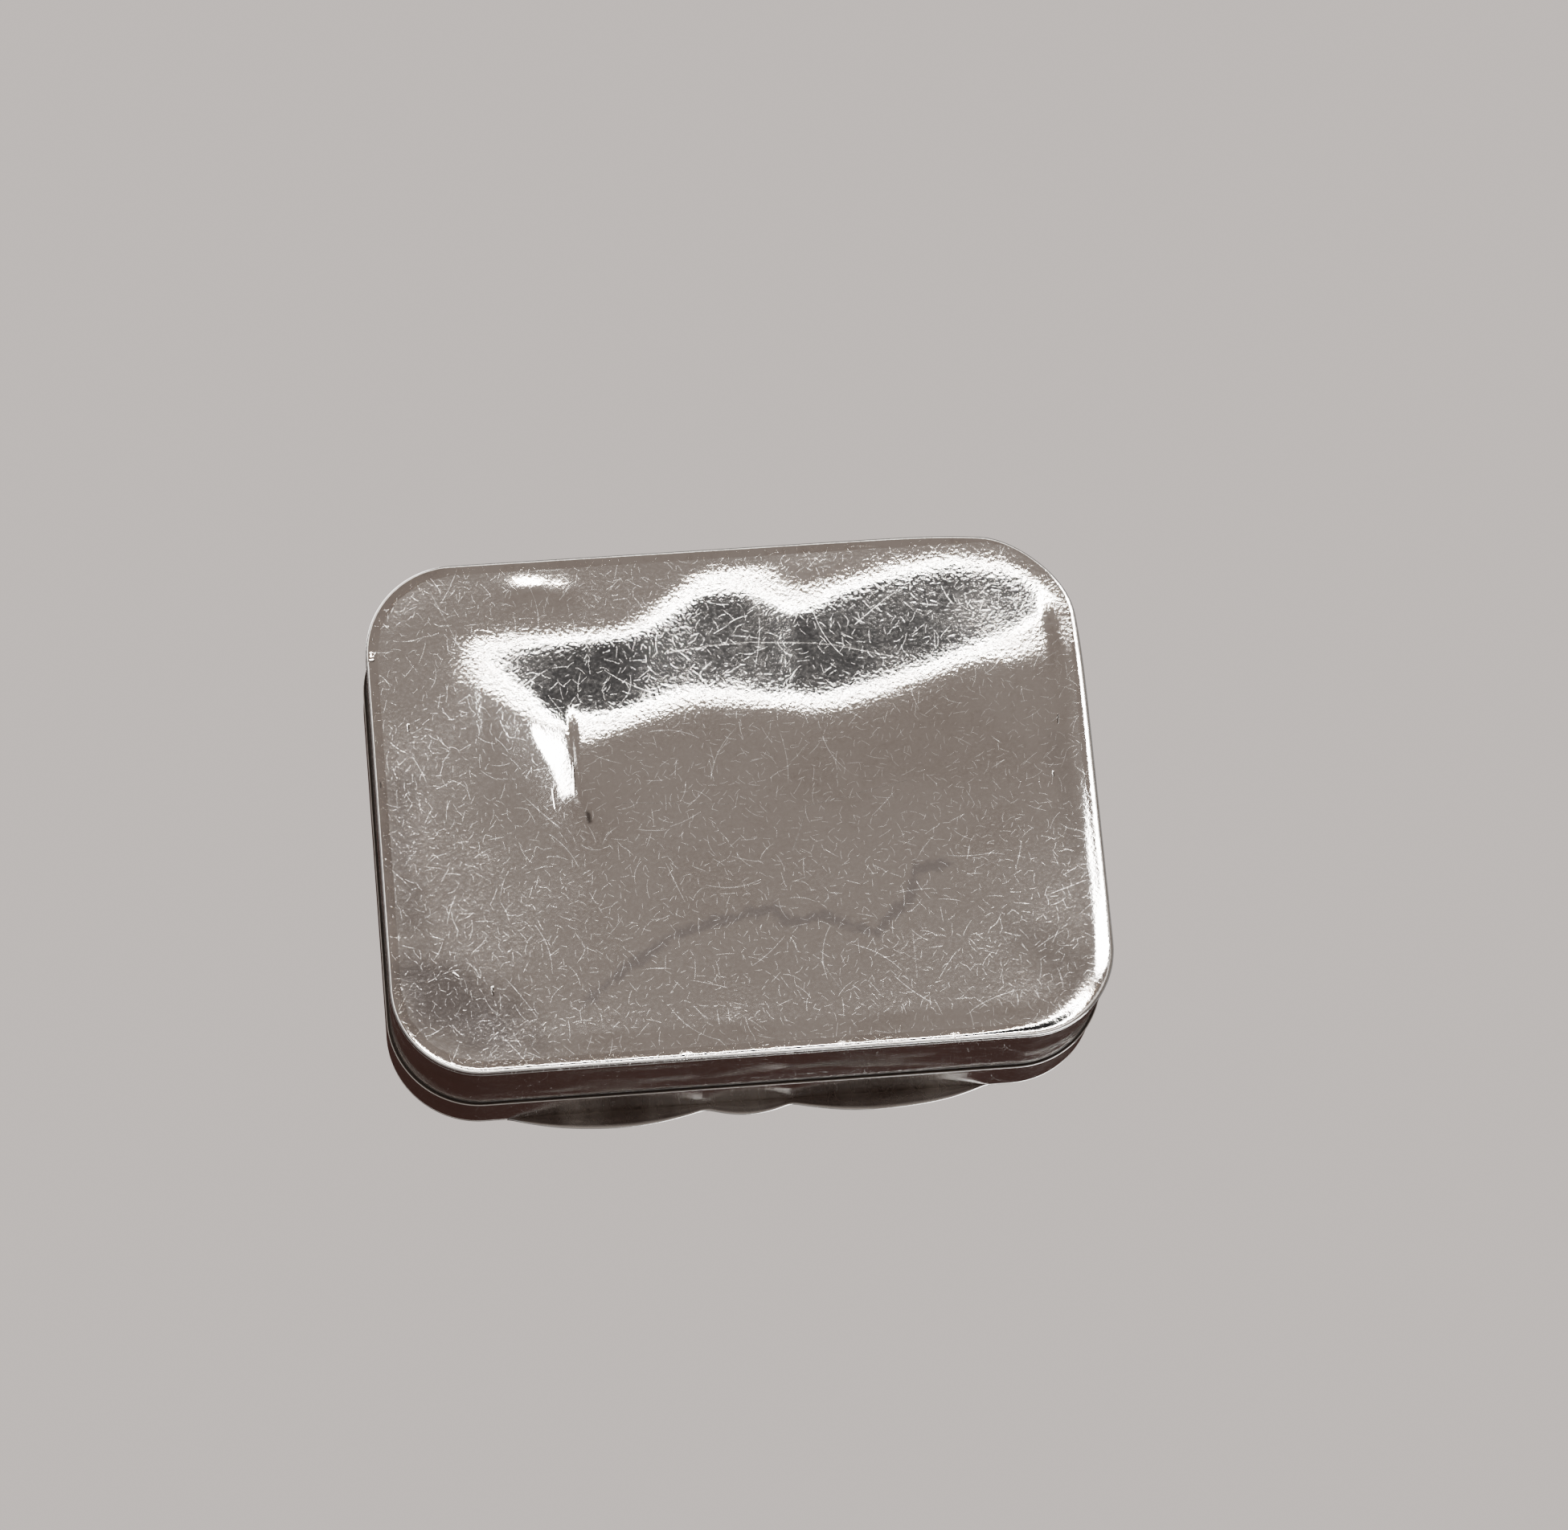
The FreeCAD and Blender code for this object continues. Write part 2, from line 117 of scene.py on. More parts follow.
def inset_from(x, y, half_x, half_y, radius):
    """How far a point lies inside a rounded rectangle."""
    out_x = np.abs(x) - (half_x - radius)
    out_y = np.abs(y) - (half_y - radius)
    outside = np.hypot(np.maximum(out_x, 0.0), np.maximum(out_y, 0.0))
    return radius - outside - np.minimum(np.maximum(out_x, out_y), 0.0)


def outline(half_x, half_y, radius, step, marks=()):
    """Points and outward normals round a rounded rectangle, and the way along it to each point.
    Marks are places in x that the straight back side must have a point at."""
    points, normals = [], []
    inner_x, inner_y = half_x - radius, half_y - radius
    turns = ((0.0, -1.0), (1.0, 0.0), (0.0, 1.0), (-1.0, 0.0))
    corners = ((inner_x, -inner_y), (inner_x, inner_y), (-inner_x, inner_y), (-inner_x, -inner_y))
    for side, normal in enumerate(turns):
        start = np.array(corners[side - 1]) + radius * np.array(normal)
        end = np.array(corners[side]) + radius * np.array(normal)
        count = int(round(np.linalg.norm(end - start) / step))
        shares = list(np.linspace(0.0, 1.0, count, endpoint=False))
        if side == 2:
            shares = sorted(shares + [(start[0] - mark) / (start[0] - end[0]) for mark in marks])
        for share in shares:
            points.append(start + share * (end - start))
            normals.append(np.array(normal))
        arc_count = int(round(radius * np.pi / 2 / step))
        first = math.atan2(normal[1], normal[0])
        for share in np.linspace(0.0, 1.0, arc_count, endpoint=False):
            turn = first + share * np.pi / 2
            direction = np.array((math.cos(turn), math.sin(turn)))
            points.append(np.array(corners[side]) + radius * direction)
            normals.append(direction)
    points, normals = np.array(points), np.array(normals)
    lengths = np.linalg.norm(np.roll(points, -1, axis=0) - points, axis=1)
    return points, normals, np.concatenate(([0.0], np.cumsum(lengths)))


# ---------------- making pieces

def add_object(name, data):
    """A new object in the scene."""
    made = bpy.data.objects.new(name, data)
    bpy.context.scene.collection.objects.link(made)
    return made


def make_piece(name, vertices, faces, body, material, stands_for):
    """A smooth closed mesh piece in the shared frame, riding a CAD body."""
    mesh = bpy.data.meshes.new(name)
    mesh.from_pydata((np.asarray(vertices) * MM).tolist(), [], faces)
    mesh.validate()
    mesh.shade_smooth()
    piece = add_object(name, mesh)
    mesh.materials.append(material)
    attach(piece, body)
    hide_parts(stands_for)
    return piece


def store_point_values(piece, name, values):
    """Keeps one number for each vertex, which a material reads by name."""
    attribute = piece.data.attributes.new(name, "FLOAT", "POINT")
    attribute.data.foreach_set("value", np.asarray(values, np.float32))


def store_unrolled(piece, along, up, counts):
    """Keeps each face corner's place on the flattened strip, in millimetres."""
    stations, rows = counts
    attribute = piece.data.attributes.new("unrolled", "FLOAT_VECTOR", "CORNER")
    flat = np.zeros((len(piece.data.loops), 3), np.float32)
    station, row = np.divmod(np.arange(stations * rows), rows)
    for corner, (step_i, step_j) in enumerate(((0, 0), (1, 0), (1, 1), (0, 1))):
        flat[corner::4, 0] = along[station + step_i]
        flat[corner::4, 1] = up[row + step_j]
    attribute.data.foreach_set("vector", flat.ravel())


def sheet_rings(half_x, half_y, radius, step, insets):
    """Vertex places of a sheet laid out in rings, from its edge in to a line along its middle."""
    edge, _, _ = outline(half_x, half_y, radius, step)
    middle = np.zeros_like(edge)
    middle[:, 0] = edge[:, 0] * (half_x - half_y) / half_x
    shares = np.asarray(insets)[:, None, None] / half_y
    return edge[None] * (1.0 - shares) + middle[None] * shares


def ring_faces(rings, around, first, flip):
    """Quads between neighbouring rings."""
    faces = []
    for ring in range(rings - 1):
        for spot in range(around):
            beside = (spot + 1) % around
            low, high = first + ring * around, first + (ring + 1) * around
            quad = (low + spot, low + beside, high + beside, high + spot)
            faces.append(quad[::-1] if flip else quad)
    return faces


def stitch_faces(around, outer_first, inner_first, flip):
    """The edge strip between the face side and a back side with half as many points."""
    faces = []
    for spot in range(around // 2):
        beside = (spot + 1) % (around // 2)
        outer = [outer_first + (2 * spot + extra) % around for extra in (2, 1, 0)]
        face = (inner_first + spot, inner_first + beside, *outer)
        faces.append(face[::-1] if flip else face)
    return faces


def merge_close(vertices, faces):
    """Joins vertices that share one place and drops the faces that this leaves empty."""
    off_ties = 3.3e-6  # keeps places from lying halfway between two rounded ones
    keys = np.round(vertices + off_ties, 5)
    _, first, same = np.unique(keys, axis=0, return_index=True, return_inverse=True)
    same = same.reshape(-1)
    kept = []
    for face in faces:
        merged = [int(same[corner]) for corner in face]
        around = [v for k, v in enumerate(merged) if v != merged[k - 1]]
        if len(set(around)) > 2:
            kept.append(around)
    return vertices[first], kept


def double_sheet(half, radius, step, insets, face_z, back_z, face_down):
    """A closed sheet with a detailed face side and a coarser back side."""
    face_xy = sheet_rings(half[0], half[1], radius, step, insets)
    back_xy = np.concatenate((face_xy[:-1:2, ::2], face_xy[-1:, ::2]))
    around = face_xy.shape[1]
    sides = []
    for places, height in ((face_xy, face_z), (back_xy, back_z)):
        x, y = places[..., 0].ravel(), places[..., 1].ravel()
        inset = inset_from(x, y, half[0], half[1], radius)
        sides.append(np.column_stack((x, y, height(x, y, inset))))
    face_count = len(sides[0])
    faces = ring_faces(face_xy.shape[0], around, 0, face_down)
    faces += ring_faces(back_xy.shape[0], around // 2, face_count, not face_down)
    faces += stitch_faces(around, 0, face_count, face_down)
    return merge_close(np.vstack(sides), faces)


# ---------------- the worn base plate

BRIGHT_SLOPE = 0.095  # the gentle bends beside the long dent, which mirror the lamp
BEND_ROUNDING = (0.5, 0.55)  # rounding where the upper bend begins and the lower bend ends
STEEP_ROUNDING = (0.3, 0.35)  # the same for the steep side between them
DENT_FRONT = -11.0    # where the sunken plate is level again
SETTLING = 4.5        # way in which the plate comes up from the dent to its sunken height
LEVELLING = 3.0       # rounding where it is level again
FOLD_SLOPE = 0.148    # the fold's flank, which mirrors a window
FOLD_PLACE = (7.85, 3.0)
FOLD_LEAN = 0.1       # shift of the fold in x for each millimetre in y
SCUFF_REACH = 1.1     # how far the scuffs reach from the middle of a bend
# Places (x, y) along the two sides of the dent, and (x, width) of the bend beside each.
DENT_UPPER = ((12.5, 8.2), (9.5, 8.5), (4.4, 8.5), (2.7, 9.4), (1.1, 10.4), (-0.9, 10.5),
              (-2.6, 9.7), (-3.5, 8.9), (-5.2, 9.8), (-8.1, 10.8), (-11.3, 11.3), (-14.5, 11.1),
              (-16.0, 10.3), (-17.5, 9.5))
DENT_LOWER = ((12.5, 7.9), (11.5, 7.4), (10.4, 6.5), (8.9, 5.6), (6.6, 4.8), (4.3, 5.2),
              (1.5, 5.8), (-2.0, 5.4), (-4.4, 5.2), (-7.6, 5.7), (-10.8, 6.6), (-13.7, 7.5),
              (-16.2, 8.6), (-17.5, 9.0))
UPPER_BEND = ((11.5, 0.8), (9.0, 0.35), (5.0, 0.3), (3.0, 0.9), (1.0, 1.1), (-1.0, 1.2),
              (-3.2, 2.0), (-4.5, 1.2), (-7.0, 0.5), (-10.0, 0.15), (-14.0, 0.08))
LOWER_BEND = ((11.0, 1.3), (9.5, 1.6), (8.0, 2.0), (6.0, 1.1), (2.0, 0.8), (-2.0, 0.65),
              (-5.0, 0.9), (-8.0, 0.6), (-12.0, 0.6), (-14.0, 1.4), (-16.0, 2.2))
# Slope of the dent's steep side, and depth of the sunken plate in front of it, against x.
STEEPNESS = ((13.5, 0.0), (12.4, 0.06), (11.2, 0.17), (8.0, 0.22), (4.5, 0.24), (0.0, 0.205),
             (-3.2, 0.24), (-7.0, 0.22), (-10.0, 0.21), (-13.5, 0.20), (-16.0, 0.20),
             (-17.5, 0.14))
SUNKEN = ((17.5, 0.0), (14.0, 0.12), (10.0, 0.42), (5.0, 0.8), (0.0, 0.95), (-6.0, 0.9),
          (-11.0, 0.65), (-15.0, 0.25), (-17.5, 0.02))
KNOCK_PLACE = (-16.0, 11.6, 0.2)  # the corner that took a knock
KNOCK_PUSH = (0.45, -0.4, 0.12)
KNOCK_REACH = 2.6
RUBBED_SLOPE = 0.26   # the bevel that wear has left along the -X side
RUBBED_INSETS = (1.15, 0.45)  # that bevel's inner and outer border
SHOULDER = 0.2        # width and height of the rounded edge where it isn't worn
WORN_CORNER = (-16.2, -11.2)  # where the edge is worn most
WORN_REACH = 2.2
# Nicks in the rim: (x, y), radius, depth.
NICKS = (((17.35, 8.1), 0.2, 0.07), ((3.6, -12.6), 0.14, 0.03), ((-9.3, -12.5), 0.12, 0.02),
         ((-3.9, -12.5), 0.12, 0.02))
# Small hollows knocked in from below: (x, y), radius, depth.
HOLLOWS = (((9.7, 11.4), 0.55, 0.07), ((7.9, 11.0), 0.5, 0.06), ((8.9, 11.3), 0.35, 0.04),
           ((-11.0, 4.0), 2.6, 0.06), ((12.8, 3.6), 2.2, 0.05), ((-14.0, -7.5), 2.0, 0.05))


def long_dent(x, y):
    """The pressed trough along the back: steep at the back, easing to nothing at the front."""
    upper = smooth_curve(DENT_UPPER, x)
    lower = smooth_curve(DENT_LOWER, x)
    start = upper + smooth_curve(UPPER_BEND, x)
    end = lower - smooth_curve(LOWER_BEND, x)
    steep = smooth_curve(STEEPNESS, x)
    bend = np.minimum(BRIGHT_SLOPE, steep)
    extra = steep - bend
    first, last = BEND_ROUNDING
    height = bend * (soft_above(start - y, first) - soft_above(end - y, last))
    first, last = STEEP_ROUNDING
    height += extra * (soft_above(upper - y, first) - soft_above(lower - y, last))
    depth = bend * (start - end) + extra * (upper - lower)
    sunken = smooth_curve(SUNKEN, x, 2.0)
    way = soft_above(end - y, 0.4)
    whole = end - DENT_FRONT
    way_kept = way - soft_above(way - whole, LEVELLING)
    height -= sunken * way_kept / whole
    height -= (depth - sunken) * (1.0 - np.exp(-(way / SETTLING) ** 2))
    return height


def beside_dent(x, y):
    """1 along the two bends beside the dent, where the metal is scuffed most."""
    above = smooth_curve(DENT_UPPER, x) + smooth_curve(UPPER_BEND, x) / 2.0
    below = smooth_curve(DENT_LOWER, x) - smooth_curve(LOWER_BEND, x) / 2.0
    near = np.exp(-((y - above) / SCUFF_REACH) ** 2) + np.exp(-((y - below) / SCUFF_REACH) ** 2)
    return np.minimum(near, 1.0) * smoothstep(14.5, 12.0, x)


def in_dent(x, y):
    """1 on the steep side of the dent."""
    upper, lower = smooth_curve(DENT_UPPER, x), smooth_curve(DENT_LOWER, x)
    return smoothstep(lower - 0.3, lower + 0.3, y) * smoothstep(upper + 0.3, upper - 0.3, y)


def fold(x, y):
    """The short fold that runs from the dent towards the front, sharp on its -X side."""
    across = x - FOLD_PLACE[0] - FOLD_LEAN * (y - FOLD_PLACE[1])
    gentle_width = 1.0 + 0.8 * smoothstep(1.4, 4.6, y)
    steep_width = 0.22 + 0.35 * smoothstep(2.6, 4.6, y)
    side = np.minimum(gentle_width - across, gentle_width * (1.0 + across / steep_width))
    crest = FOLD_SLOPE * soft_above(side, 0.12)
    return crest * smoothstep(0.1, 1.0, y) * (1.0 - smoothstep(4.2, 6.2, y))


def shoulder_size(x, y):
    """Width and height of the rounded edge, rubbed wider on the -X side and at its front."""
    side = smoothstep(-15.0, -17.0, x) * smoothstep(11.0, 5.0, y)
    corner = dimple(x, y, WORN_CORNER, WORN_REACH)
    return SHOULDER + 0.3 * side + 1.2 * corner, SHOULDER + 0.06 * side + 0.22 * corner


def plate_face(x, y, inset):
    """Height of the worn underside."""
    width, tall = shoulder_size(x, y)
    rest_of_way = np.clip(1.0 - inset / width, 0.0, 1.0)
    edge = tall * (1.0 - np.sqrt(1.0 - rest_of_way ** 2))
    rubbed_wear_and_patchy_shade = smoothstep(-15.0, -17.0, x) * smoothstep(11.0, 6.0, y) * smoothstep(-11.0, -8.0, y)
    inner, outer = [soft_above(border - inset, 0.1) for border in RUBBED_INSETS]
    edge += RUBBED_SLOPE * rubbed_wear_and_patchy_shade * (inner - outer)
    held = smoothstep(0.25, 1.7, inset)
    height = held * (long_dent(x, y) + fold(x, y))
    height += held * (0.02 + ripple(x, y, 9.0, 0.02, 11) + ripple(x, y, 3.4, 0.004, 12))
    height += smoothstep(0.0, 0.6, inset) * ripple(x, y, 1.3, 0.0006, 13)
    for place, radius, deep in HOLLOWS:
        height += held * deep * dimple(x, y, place, radius)
    for place, radius, deep in NICKS:
        height += deep * dimple(x, y, place, radius)
    return edge + np.maximum(height, 0.0)


def plate_back(x, y, inset):
    """Height of the side inside the box, which shows the same dent from above."""
    return PLATE_HIGH[2] + smoothstep(0.6, 2.4, inset) * (long_dent(x, y) + fold(x, y))


def knocked(vertices):
    """The plate and the wall are pushed in together at one corner."""
    away = vertices - np.array(KNOCK_PLACE)
    share = np.exp(-np.sum(away * away, axis=1) / (2.0 * KNOCK_REACH ** 2))
    return vertices + share[:, None] * np.array(KNOCK_PUSH)


EDGE_RINGS = (0.0, 0.012, 0.035, 0.07, 0.115, 0.17, 0.235, 0.31, 0.39, 0.47, 0.56, 0.66, 0.77)
FIRST_RING_GAP = 0.12  # from those to the first even ring
RING_STEP = 0.128     # spacing of the rings past the rounded edge
AROUND_STEP = 0.2     # spacing of the mesh round the plate and the lid


def edge_insets(half_y, extra=()):
    """Ring places: close together on the rounded edge and where extra asks, then even."""
    even = np.arange(EDGE_RINGS[-1] + FIRST_RING_GAP, half_y, RING_STEP)
    even = even[even < half_y - 0.05]
    return np.array(sorted(EDGE_RINGS + tuple(even) + tuple(extra) + (half_y,)))


def make_base_plate(material):
    """The worn, dented plate under the box."""
    half = PLATE_HIGH[:2]
    insets = edge_insets(half[1])
    vertices, faces = double_sheet(half, CORNER, AROUND_STEP, insets, plate_face, plate_back, True)
    piece = make_piece("base_plate_worn", knocked(vertices), faces, "base",
                       material, "base_plate")
    x, y, z = vertices.T
    back_z = plate_back(x, y, inset_from(x, y, half[0], half[1], CORNER))
    on_back = np.abs(z - back_z) < 0.01
    store_point_values(piece, "inside", on_back)
    store_point_values(piece, "scuffed", beside_dent(x, y) * ~on_back)
    store_point_values(piece, "dented", in_dent(x, y) * ~on_back)


# ---------------- bands, lid and thumbpiece

BAND_STEP = 0.25      # spacing of the mesh along the bands
BAND_ROWS = 26        # rows of the mesh up a band's outer face
BASE_LIP = 0.03       # rounding of the base band's rims
LID_LIP = 0.05        # the same for the lid band
SEAT_MARKS = (-SEAT_HALF - 0.01, -SEAT_HALF + 0.01, SEAT_HALF - 0.01, SEAT_HALF + 0.01)


def band_profile(bottom, top, lip, rows):
    """Once round a band's cross-section: (way out from the outer face, height) points."""
    beside = 0.03
    low, high = bottom + lip, top - lip
    heights = [low, *np.linspace(low + beside, high - beside, rows), high]
    rim_turns = np.radians((22.5, 45.0, 67.5))
    outer = [(0.0, z) for z in heights]
    over = [(-lip * (1.0 - math.cos(t)), high + lip * math.sin(t)) for t in rim_turns]
    crown = [(-lip, top), (-lip - beside, top), (-WALL + lip + beside, top), (-WALL + lip, top)]
    inner = [(-WALL, z) for z in (high, *np.linspace(high - beside, low + beside, rows // 3), low)]
    foot = [(way, bottom) for way, _ in crown[::-1]]
    under = [(-lip * (1.0 - math.sin(t)), low - lip * math.cos(t)) for t in rim_turns]
    return np.array(outer + over + crown + inner + foot + under)


def cut_seat(z, x, y, kept, cut):
    """Squeezes a band's height so that its cut edge follows the seat round the hinge line."""
    depth = np.sqrt(np.maximum(SEAT_RADIUS ** 2 - (y - HINGE_Y) ** 2, 0.0))
    edge = HINGE_Z + math.copysign(1.0, kept - cut) * depth
    squeezed = kept + (z - kept) * (edge - kept) / (cut - kept)
    return np.where((np.abs(x) < SEAT_HALF) & (y > 0.0), squeezed, z)


def sweep_band(half, radius, profile, shape):
    """A closed band: the profile carried round the outline, then shaped point by point."""
    path, normals, along = outline(half[0], half[1], radius, BAND_STEP, SEAT_MARKS)
    stations, rows = len(path), len(profile)
    flat = path[:, None] + normals[:, None] * profile[None, :, :1]
    x, y = flat[..., 0].ravel(), flat[..., 1].ravel()
    z = np.tile(profile[:, 1], stations)
    push, z = shape(x, y, z, np.repeat(along[:-1], rows))
    x = x + push * np.repeat(normals[:, 0], rows)
    y = y + push * np.repeat(normals[:, 1], rows)
    faces = []
    for station in range(stations):
        here, there = station * rows, (station + 1) % stations * rows
        for row in range(rows):
            above = (row + 1) % rows
            faces.append((here + row, there + row, there + above, here + above))
    steps = np.linalg.norm(np.roll(profile, -1, axis=0) - profile, axis=1)
    up = np.concatenate(([0.0], np.cumsum(steps)))
    return np.column_stack((x, y, z)), faces, along, up, (stations, rows)


def base_wall(x, y, z, along):
    """The base wall waves a little, and its front is pressed in a little near the middle."""
    share = smoothstep(BASE_LOW[2], BASE_LOW[2] + 2.0, z) * smoothstep(BASE_HIGH[2], 5.2, z)
    push = share * (ripple(along, 2.0 * z, 7.0, 0.025, 21) - 0.03)
    push -= 0.10 * share * dimple(x, 3.0 * z, (-1.5, 14.0), 3.0) * (y < 0.0)
    push += 0.02 * ripple(along, z, 3.0, 0.3, 22) * share
    return push, cut_seat(z, x, y, BASE_LOW[2], BASE_HIGH[2])


def lid_wall(x, y, z, along):
    """The lid wall waves less; its rim is kept true by the base."""
    share = smoothstep(LID_LOW[2], LID_LOW[2] + 1.5, z) * smoothstep(LID_HIGH[2], 9.2, z)
    push = share * (ripple(along, 2.0 * z, 8.0, 0.02, 31) - 0.02)
    return push, cut_seat(z, x, y, LID_HIGH[2], LID_LOW[2])


def painted_seam_shade(profile, lip):
    """Where shade is painted as a dark line at the seam: on the lid's lower edge, and on the base
    wall right below it.
    """
    under_lid = (np.abs(profile[:, 1] - LID_LOW[2]) < 0.02) & (profile[:, 0] < -0.8 * lip)
    below = BASE_HIGH[2] - profile[:, 1]
    return under_lid | ((below > 0.0) & (below < 0.08) & (profile[:, 0] > -0.02))


def make_band(name, node, radius, lip, shape, body, material, move=None):
    """One of the two walls."""
    low, high = node_box(node)
    profile = band_profile(low[2], high[2], lip, BAND_ROWS)
    vertices, faces, along, up, counts = sweep_band(high[:2], radius, profile, shape)
    placed = move(vertices) if move else vertices
    piece = make_piece(name, placed, faces, body, material, node)
    store_unrolled(piece, along, up, counts)
    store_point_values(piece, "inside", np.tile(profile[:, 0] < -WALL / 2, counts[0]))
    # the seam rows carry painted shade
    store_point_values(piece, "patina_and_painted_shade", np.tile(painted_seam_shade(profile, lip), counts[0]))


BORDER = 2.75         # the lid's flat border, before its panel rises
BORDER_TOP = 10.75    # height of that border
BEVEL = 0.4
PANEL_RISE = TOP_HIGH[2] - BORDER_TOP
RELIEF_ROOM = 0.03    # the panel stays this much lower, so that its relief has room
LID_EDGE = 0.3        # rounding of the lid's edge
FRAME_EDGE = 3.9      # inside this the panel is engine turned
CARTOUCHE = (4.2, 2.7)  # half length and half width of the plain oval
LEAVES = 56           # leaves in the chased border


def border_path(x, y):
    """Way along the middle of the border in millimetres, measured like a bent ruler."""
    half_x, half_y = LID_HIGH[0] - BORDER / 2, LID_HIGH[1] - BORDER / 2
    scale = np.maximum(np.abs(x) / half_x, np.abs(y) / half_y)
    edge_x, edge_y = x / np.maximum(scale, 1e-6), y / np.maximum(scale, 1e-6)
    on_side = np.abs(edge_x) >= half_x - 1e-6
    along_side = np.where(edge_x > 0, edge_y + half_y, 2 * half_x + 3 * half_y - edge_y)
    along_end = np.where(edge_y > 0, 2 * half_y + half_x - edge_x, 4 * half_y + 3 * half_x + edge_x)
    return np.where(on_side, along_side, along_end), 4.0 * (half_x + half_y)


def chased_border(x, y, inset):
    """A running wave with a leaf in each turn, chased into the lid's flat border."""
    along, whole = border_path(x, y)
    turn = 2.0 * np.pi * LEAVES / 2 * along / whole
    across = inset - (BORDER + 0.3) / 2
    stem = np.exp(-((across - 0.42 * np.sin(turn)) / 0.11) ** 2)
    leaf_way = np.cos(turn)
    leaf = np.exp(-((across + 0.35 * np.sin(turn)) / 0.26) ** 2 - (leaf_way / 0.62) ** 2)
    vein = np.exp(-((across + 0.35 * np.sin(turn)) / 0.06) ** 2 - (leaf_way / 0.5) ** 2)
    rails = np.exp(-((np.abs(across) - 0.95) / 0.07) ** 2)
    kept = smoothstep(0.35, 0.5, inset) * smoothstep(BORDER - 0.05, BORDER - 0.2, inset)
    return kept * (0.07 * stem + 0.085 * leaf - 0.05 * vein - 0.07 * rails - 0.02)


def engine_turning(x, y, inset):
    """Fine waves round a plain oval, as an engine-turning lathe cuts them."""
    oval_way = np.hypot(x / CARTOUCHE[0], y / CARTOUCHE[1])
    rings = (oval_way - 1.0) * CARTOUCHE[1]
    angle = np.arctan2(y / CARTOUCHE[1], x / CARTOUCHE[0])
    wave = 0.5 + 0.5 * np.cos(2.0 * np.pi * (rings / 0.85 + 0.22 * np.sin(24.0 * angle)))
    inside = smoothstep(FRAME_EDGE - 0.05, FRAME_EDGE + 0.1, inset)
    outside = smoothstep(1.06, 1.1, oval_way)
    rim = np.exp(-((oval_way - 1.03) * CARTOUCHE[1] / 0.09) ** 2)
    groove = np.exp(-((inset - FRAME_EDGE + 0.12) / 0.08) ** 2)
    return -0.055 * wave * inside * outside + 0.03 * rim - 0.05 * groove


def lid_face(x, y, inset):
    """Height of the decorated outside of the lid."""
    border_z = TOP_HIGH[2] - PANEL_RISE
    rest_of_way = np.clip(1.0 - inset / LID_EDGE, 0.0, 1.0)
    edge = border_z - LID_EDGE * (1.0 - np.sqrt(1.0 - rest_of_way ** 2))
    panel = (PANEL_RISE - RELIEF_ROOM) * smoothstep(BORDER, BORDER + BEVEL, inset)
    work = chased_border(x, y, inset) + engine_turning(x, y, inset)
    hand = ripple(x, y, 8.0, 0.012, 41) * smoothstep(0.3, 2.0, inset)
    return edge + panel + work + hand - 0.02 * smoothstep(0.2, 0.6, inset)


def lid_back(_x, _y, inset):
    """Height of the inside of the lid, hollow under the panel."""
    hollow = smoothstep(BORDER, BORDER + BEVEL + 0.1, inset)
    return TOP_LOW[2] + (PANEL_RISE - RELIEF_ROOM) * hollow


def make_lid_top(material):
    """The decorated lid plate."""
    half = TOP_HIGH[:2]
    bevel_rings = np.arange(BORDER - 0.2, FRAME_EDGE + 0.2, RING_STEP) + RING_STEP / 2
    insets = edge_insets(half[1], bevel_rings)
    vertices, faces = double_sheet(half, LID_CORNER, AROUND_STEP, insets, lid_face, lid_back, False)
    piece = make_piece("lid_top_chased", vertices, faces, "lid", material, "lid_top")
    x, y, z = vertices.T
    inset = inset_from(x, y, half[0], half[1], LID_CORNER)
    on_face = z - lid_back(x, y, inset) > 0.1
    relief = chased_border(x, y, inset) + engine_turning(x, y, inset)
    deep = np.clip(-14.0 * relief, 0.0, 1.0)
    corner = np.exp(-((inset - BORDER) / 0.15) ** 2)
    store_point_values(piece, "patina_and_painted_shade", np.clip(deep + corner, 0.0, 1.0) * on_face)
    store_point_values(piece, "inside", ~on_face)


THUMB_VALLEY = 2.1    # the dips between the thumbpiece's middle lobe and its side lobes
THUMB_DIP = 0.25      # reach of the thumbpiece in those dips
THUMB_SIDE_RISE = 0.74  # how far its side lobes rise above a straight edge
THUMB_MIDDLE = 0.66   # reach of its middle lobe
THUMB_ROOT = 0.12     # how far its root lies inside the lid's wall
THUMB_DROOP = 0.12    # how far it leans down for each millimetre that it reaches out


def thumb_reach(x):
    """How far the thumbpiece stands out from the lid wall at each place along it."""
    away = np.abs(x)
    share = np.clip((away - THUMB_VALLEY) / (THUMB_HIGH[0] - THUMB_VALLEY), 0.0, 1.0)
    side = THUMB_DIP * (1.0 - share) + 4.0 * THUMB_SIDE_RISE * share * (1.0 - share)
    lobe = 1.0 - np.clip(away / THUMB_VALLEY, 0.0, 1.0) ** 2
    middle = THUMB_DIP + (THUMB_MIDDLE - THUMB_DIP) * lobe
    uneven = ripple(x, np.zeros_like(x), 5.0, 0.02, 51)
    return np.maximum(np.where(away < THUMB_VALLEY, middle, side) + uneven * share, 0.02)


